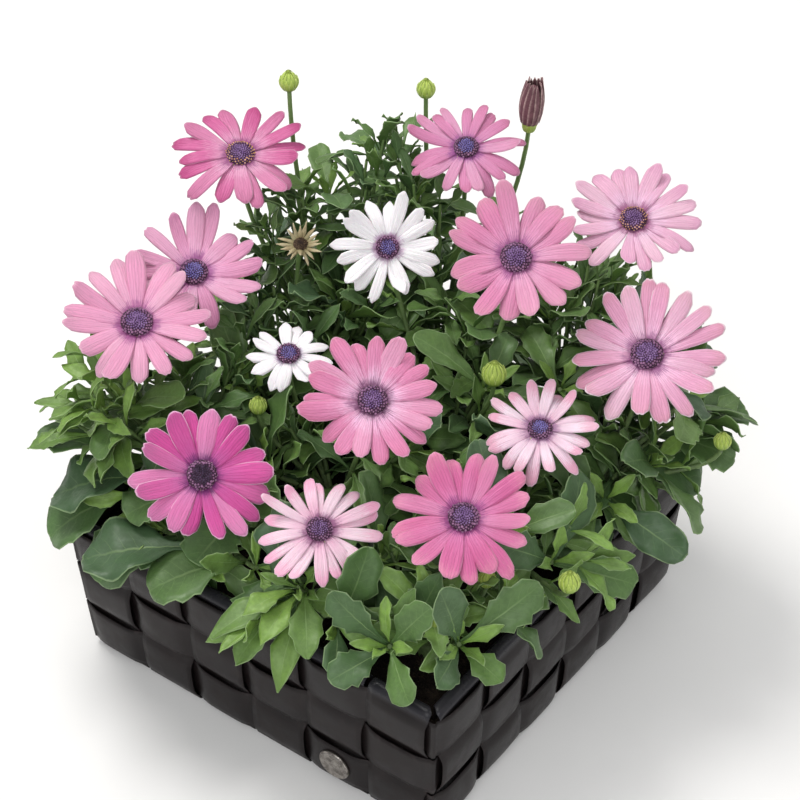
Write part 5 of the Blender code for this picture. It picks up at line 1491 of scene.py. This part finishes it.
def makeSeedHead(florets):
    look = dict(dry="#97835f", pale="#d0c2a2", green="#7a7852", bracts=17, rows=7, seed=31)
    material, tree, shader, place, patches = newMaterial("dryBract", 0.75, 0.25, 300.0, 4.0)
    across, length, off = bladeAxes(tree)
    colour = mixIn(tree, blend(tree, length, look["green"], look["pale"]), look["dry"], patches, 0.6)
    finishMaterial(tree, shader, colour, patches, (0.7, 0.85), patches, 0.5, 0.0005)
    frameOf = headFrame(seedHead)
    radius, reach = seedHead["radius"], seedHead["reach"]
    draw = random.Random(look["seed"])
    rows = look["rows"]
    shapes = Shapes()
    for k in range(look["bracts"]):
        out, side = spoke(2 * math.pi * (k + draw.uniform(-0.2, 0.2)) / look["bracts"])
        long = reach * draw.uniform(0.70, 1.0)
        rise = draw.uniform(-0.10, 0.95)
        curl = draw.uniform(-0.005, 0.005)
        points, widths = [], []
        for r in range(rows):
            t = r / (rows - 1)
            points.append(out * (0.5 * radius + (long - 0.5 * radius) * t)
                          + Vector((0, 0, 0.0004 + rise * (long - 0.7 * radius) * t + curl * t * t)))
            widths.append(0.0030 * (1 - 0.90 * t ** 1.8) * (1 + 0.2 * math.sin(9 * t + k)))
        grid, faces, uv = blade(points, widths, side, [zWay] * rows, 0.18, 3)
        shapes.add([frameOf @ p for p in grid], faces, uv)
    shapes.piece("seed_head_bracts", material, "dry_bract", ["seed_head"], 0.0003)
    dark = makeSpotMaterial("dryFlorets", "#2a1f1c", "#5d4a3a", 0.85)
    tan = makeSpotMaterial("dryTips", "#6f5a3f", "#a58a62", 0.8)
    makeDisc("seed_head_middle", 0.78 * radius, florets, frameOf, [dark, dark, dark, tan],
             ["seed_head"], 3, height=0.8, rimFrom=0.45)


def makeFlowers():
    florets = floretTree()
    dome = makeSpotMaterial("discGround", "#2e1a2c", "#4f3048", 0.8)
    violet = makeSpotMaterial("closedFlorets", "#64599e", "#948ac6", 0.65)
    plum = makeSpotMaterial("plumFlorets", "#6c4c80", "#9c7cad", 0.65)
    rim = makeSpotMaterial("openFlorets", "#6a4069", "#b382b0", 0.75)
    darkViolet = makeSpotMaterial("darkFlorets", "#2b2030", "#51405c", 0.7)
    pollen = makeSpotMaterial("pollen", "#c08a3c", "#efc95f", 0.8)
    dullPollen = makeSpotMaterial("dullPollen", "#7d5a70", "#a98398", 0.8)
    for number, (key, bloom) in enumerate(blooms.items(), 1):
        makePetals(key, bloom)
        inner = darkViolet if "disc" in bloom else violet if key in "bcgik" else plum
        skins = [dome, inner, rim, pollen if key in "ae" else dullPollen]
        makeDisc(f"flower_{key}_disc", bloom.get("discShare", discForm["share"]) * bloom["radius"], florets,
                 headFrame(bloom), skins, [f"bloom_{key}_disc"], number)
    makeClosedBloom()
    makeSeedHead(florets)


# Soil crumbs

crumbs = dict(density=36000.0, size=0.0011, seed=4, cells=24, reach=0.112, lift=0.0004)


def crumbTree():
    tree, given, result = newGroup("soilCrumbs", [("Ground", "Geometry", None), ("Density", "Float", 30000.0),
                                                  ("Size", "Float", 0.001), ("Seed", "Int", 1),
                                                  ("Material", "Material", None)],
                                   ("Crumbs", "Geometry"), "GeometryNodeTree")
    scatter = addNode(tree, "GeometryNodeDistributePointsOnFaces",
                      {"Mesh": given["Ground"], "Density": given["Density"], "Seed": given["Seed"]})
    lump = addNode(tree, "GeometryNodeMeshIcoSphere", {"Subdivisions": 1, "Radius": given["Size"]})
    spin = addNode(tree, "FunctionNodeRandomValue", {1: (6.28, 6.28, 6.28)}, data_type="FLOAT_VECTOR")
    scale = addNode(tree, "FunctionNodeRandomValue", {0: (0.4, 0.5, 0.4), 1: (1.7, 1.3, 1.1)},
                    data_type="FLOAT_VECTOR")
    put = addNode(tree, "GeometryNodeInstanceOnPoints",
                  {"Points": scatter.outputs["Points"], "Instance": lump, "Rotation": spin, "Scale": scale})
    feed(tree, painted(tree, realized(tree, put), given["Material"]), result)
    return tree


def makeCrumbs(earth):
    cells, half = crumbs["cells"], crumbs["reach"]
    points = []
    for i in range(cells + 1):
        for j in range(cells + 1):
            x, y = half * (2 * i / cells - 1), half * (2 * j / cells - 1)
            points.append((x + basketMiddle.x, y + basketMiddle.y, soilLevel(x, y) + crumbs["lift"]))
    mesh = bpy.data.meshes.new("crumb ground")
    mesh.from_pydata(points, [], gridFaces(cells + 1, cells + 1))
    host = addHelper("crumb ground", mesh, crumbTree(), Density=crumbs["density"], Size=crumbs["size"],
                     Seed=crumbs["seed"], Material=earth)
    keepHelper(host, "soil_crumbs")


# Camera, light and floor

studio = dict(azimuth=36.3, elevation=40.0, distance=1.26, lens=99.0, target=(-0.0356, 0.0635, 0.096),
              room=0.50, floor="#f2f1f0", floorLight="#f6f5f4")
lights = dict(
    key=dict(place=(-0.8, 0.1, 1.7), target=(0, 0, 0.12), size=0.9, power=21.0, colour=(1.0, 0.985, 0.96)),
    fill=dict(place=(0.7, -1.4, 1.3), target=(0, 0, 0.1), size=1.4, power=15.0, colour=(0.98, 0.99, 1.0)),
    back=dict(place=(0.8, 1.3, 1.0), target=(0, 0, 0.15), size=0.8, power=5.0, colour=(1.0, 1.0, 1.0)))


def makeCamera():
    a, e = math.radians(studio["azimuth"]), math.radians(studio["elevation"])
    right = Vector((math.cos(a), math.sin(a), 0))
    ahead = Vector((-math.sin(a), math.cos(a), 0)) * math.cos(e) - zWay * math.sin(e)
    data = bpy.data.cameras.new("photo camera")
    data.lens, data.sensor_width = studio["lens"], 36.0
    camera = bpy.data.objects.new("photo camera", data)
    scene.collection.objects.link(camera)
    matrix = Matrix((right, right.cross(ahead), -ahead)).transposed().to_4x4()
    matrix.translation = Vector(studio["target"]) - ahead * studio["distance"] + basketMiddle
    camera.matrix_world = matrix
    scene.camera = camera


def addLight(name, place, target, size, power, colour):
    data = bpy.data.lights.new(name, "AREA")
    data.shape, data.size, data.energy, data.color = "DISK", size, power, colour
    light = bpy.data.objects.new(name, data)
    scene.collection.objects.link(light)
    light.location = place
    light.rotation_euler = (Vector(target) - Vector(place)).to_track_quat("-Z", "Y").to_euler()


def makeStudio():
    scene.view_settings.view_transform = "Standard"
    scene.view_settings.look = "None"
    world = bpy.data.worlds.new("soft room")
    scene.world = world
    world.use_nodes = True
    sky = world.node_tree.nodes["Background"].inputs
    sky["Color"].default_value = (1.0, 1.0, 1.0, 1.0)
    sky["Strength"].default_value = studio["room"]
    for name, light in lights.items():
        addLight(name, **light)
    mesh = bpy.data.meshes.new("pale floor")
    mesh.from_pydata([(-4, -4, 0), (4, -4, 0), (4, 4, 0), (-4, 4, 0)], [], [(0, 1, 2, 3)])
    floor = bpy.data.objects.new("pale floor", mesh)
    scene.collection.objects.link(floor)
    material, tree, shader, place, patches = newMaterial("paleFloor", 0.9, 0.1, 3.0, 6.0)
    feed(tree, blend(tree, patches, studio["floor"], studio["floorLight"]), shader["Base Color"])
    mesh.materials.append(material)


print("basket")
makeCamera()
makeStudio()
strip = makeStripMaterial()
makeUprights(strip)
makeRows(strip)
makeBadge()
makeCrumbs(makeLinerAndSoil())

print("leaves")
coarsePlants, finePlants = stemPaths(None), stemPaths(fineSteps)
sprayPlants = sprayPaths()
found = matchedLeaves(coarsePlants)
print("leaves of the solids:", sum(len(leaves) for leaves in found))
print("leaves added:", extraLeaves(finePlants, sprayPlants, found))
makeLeaves(found, makeLeafMaterial())

print("stems and buds")
makeStems(finePlants, sprayPlants, makeStemMaterial())
makeCupsAndBuds(finePlants, makeBudMaterial())

print("flowers")
makeFlowers()

print("finished")
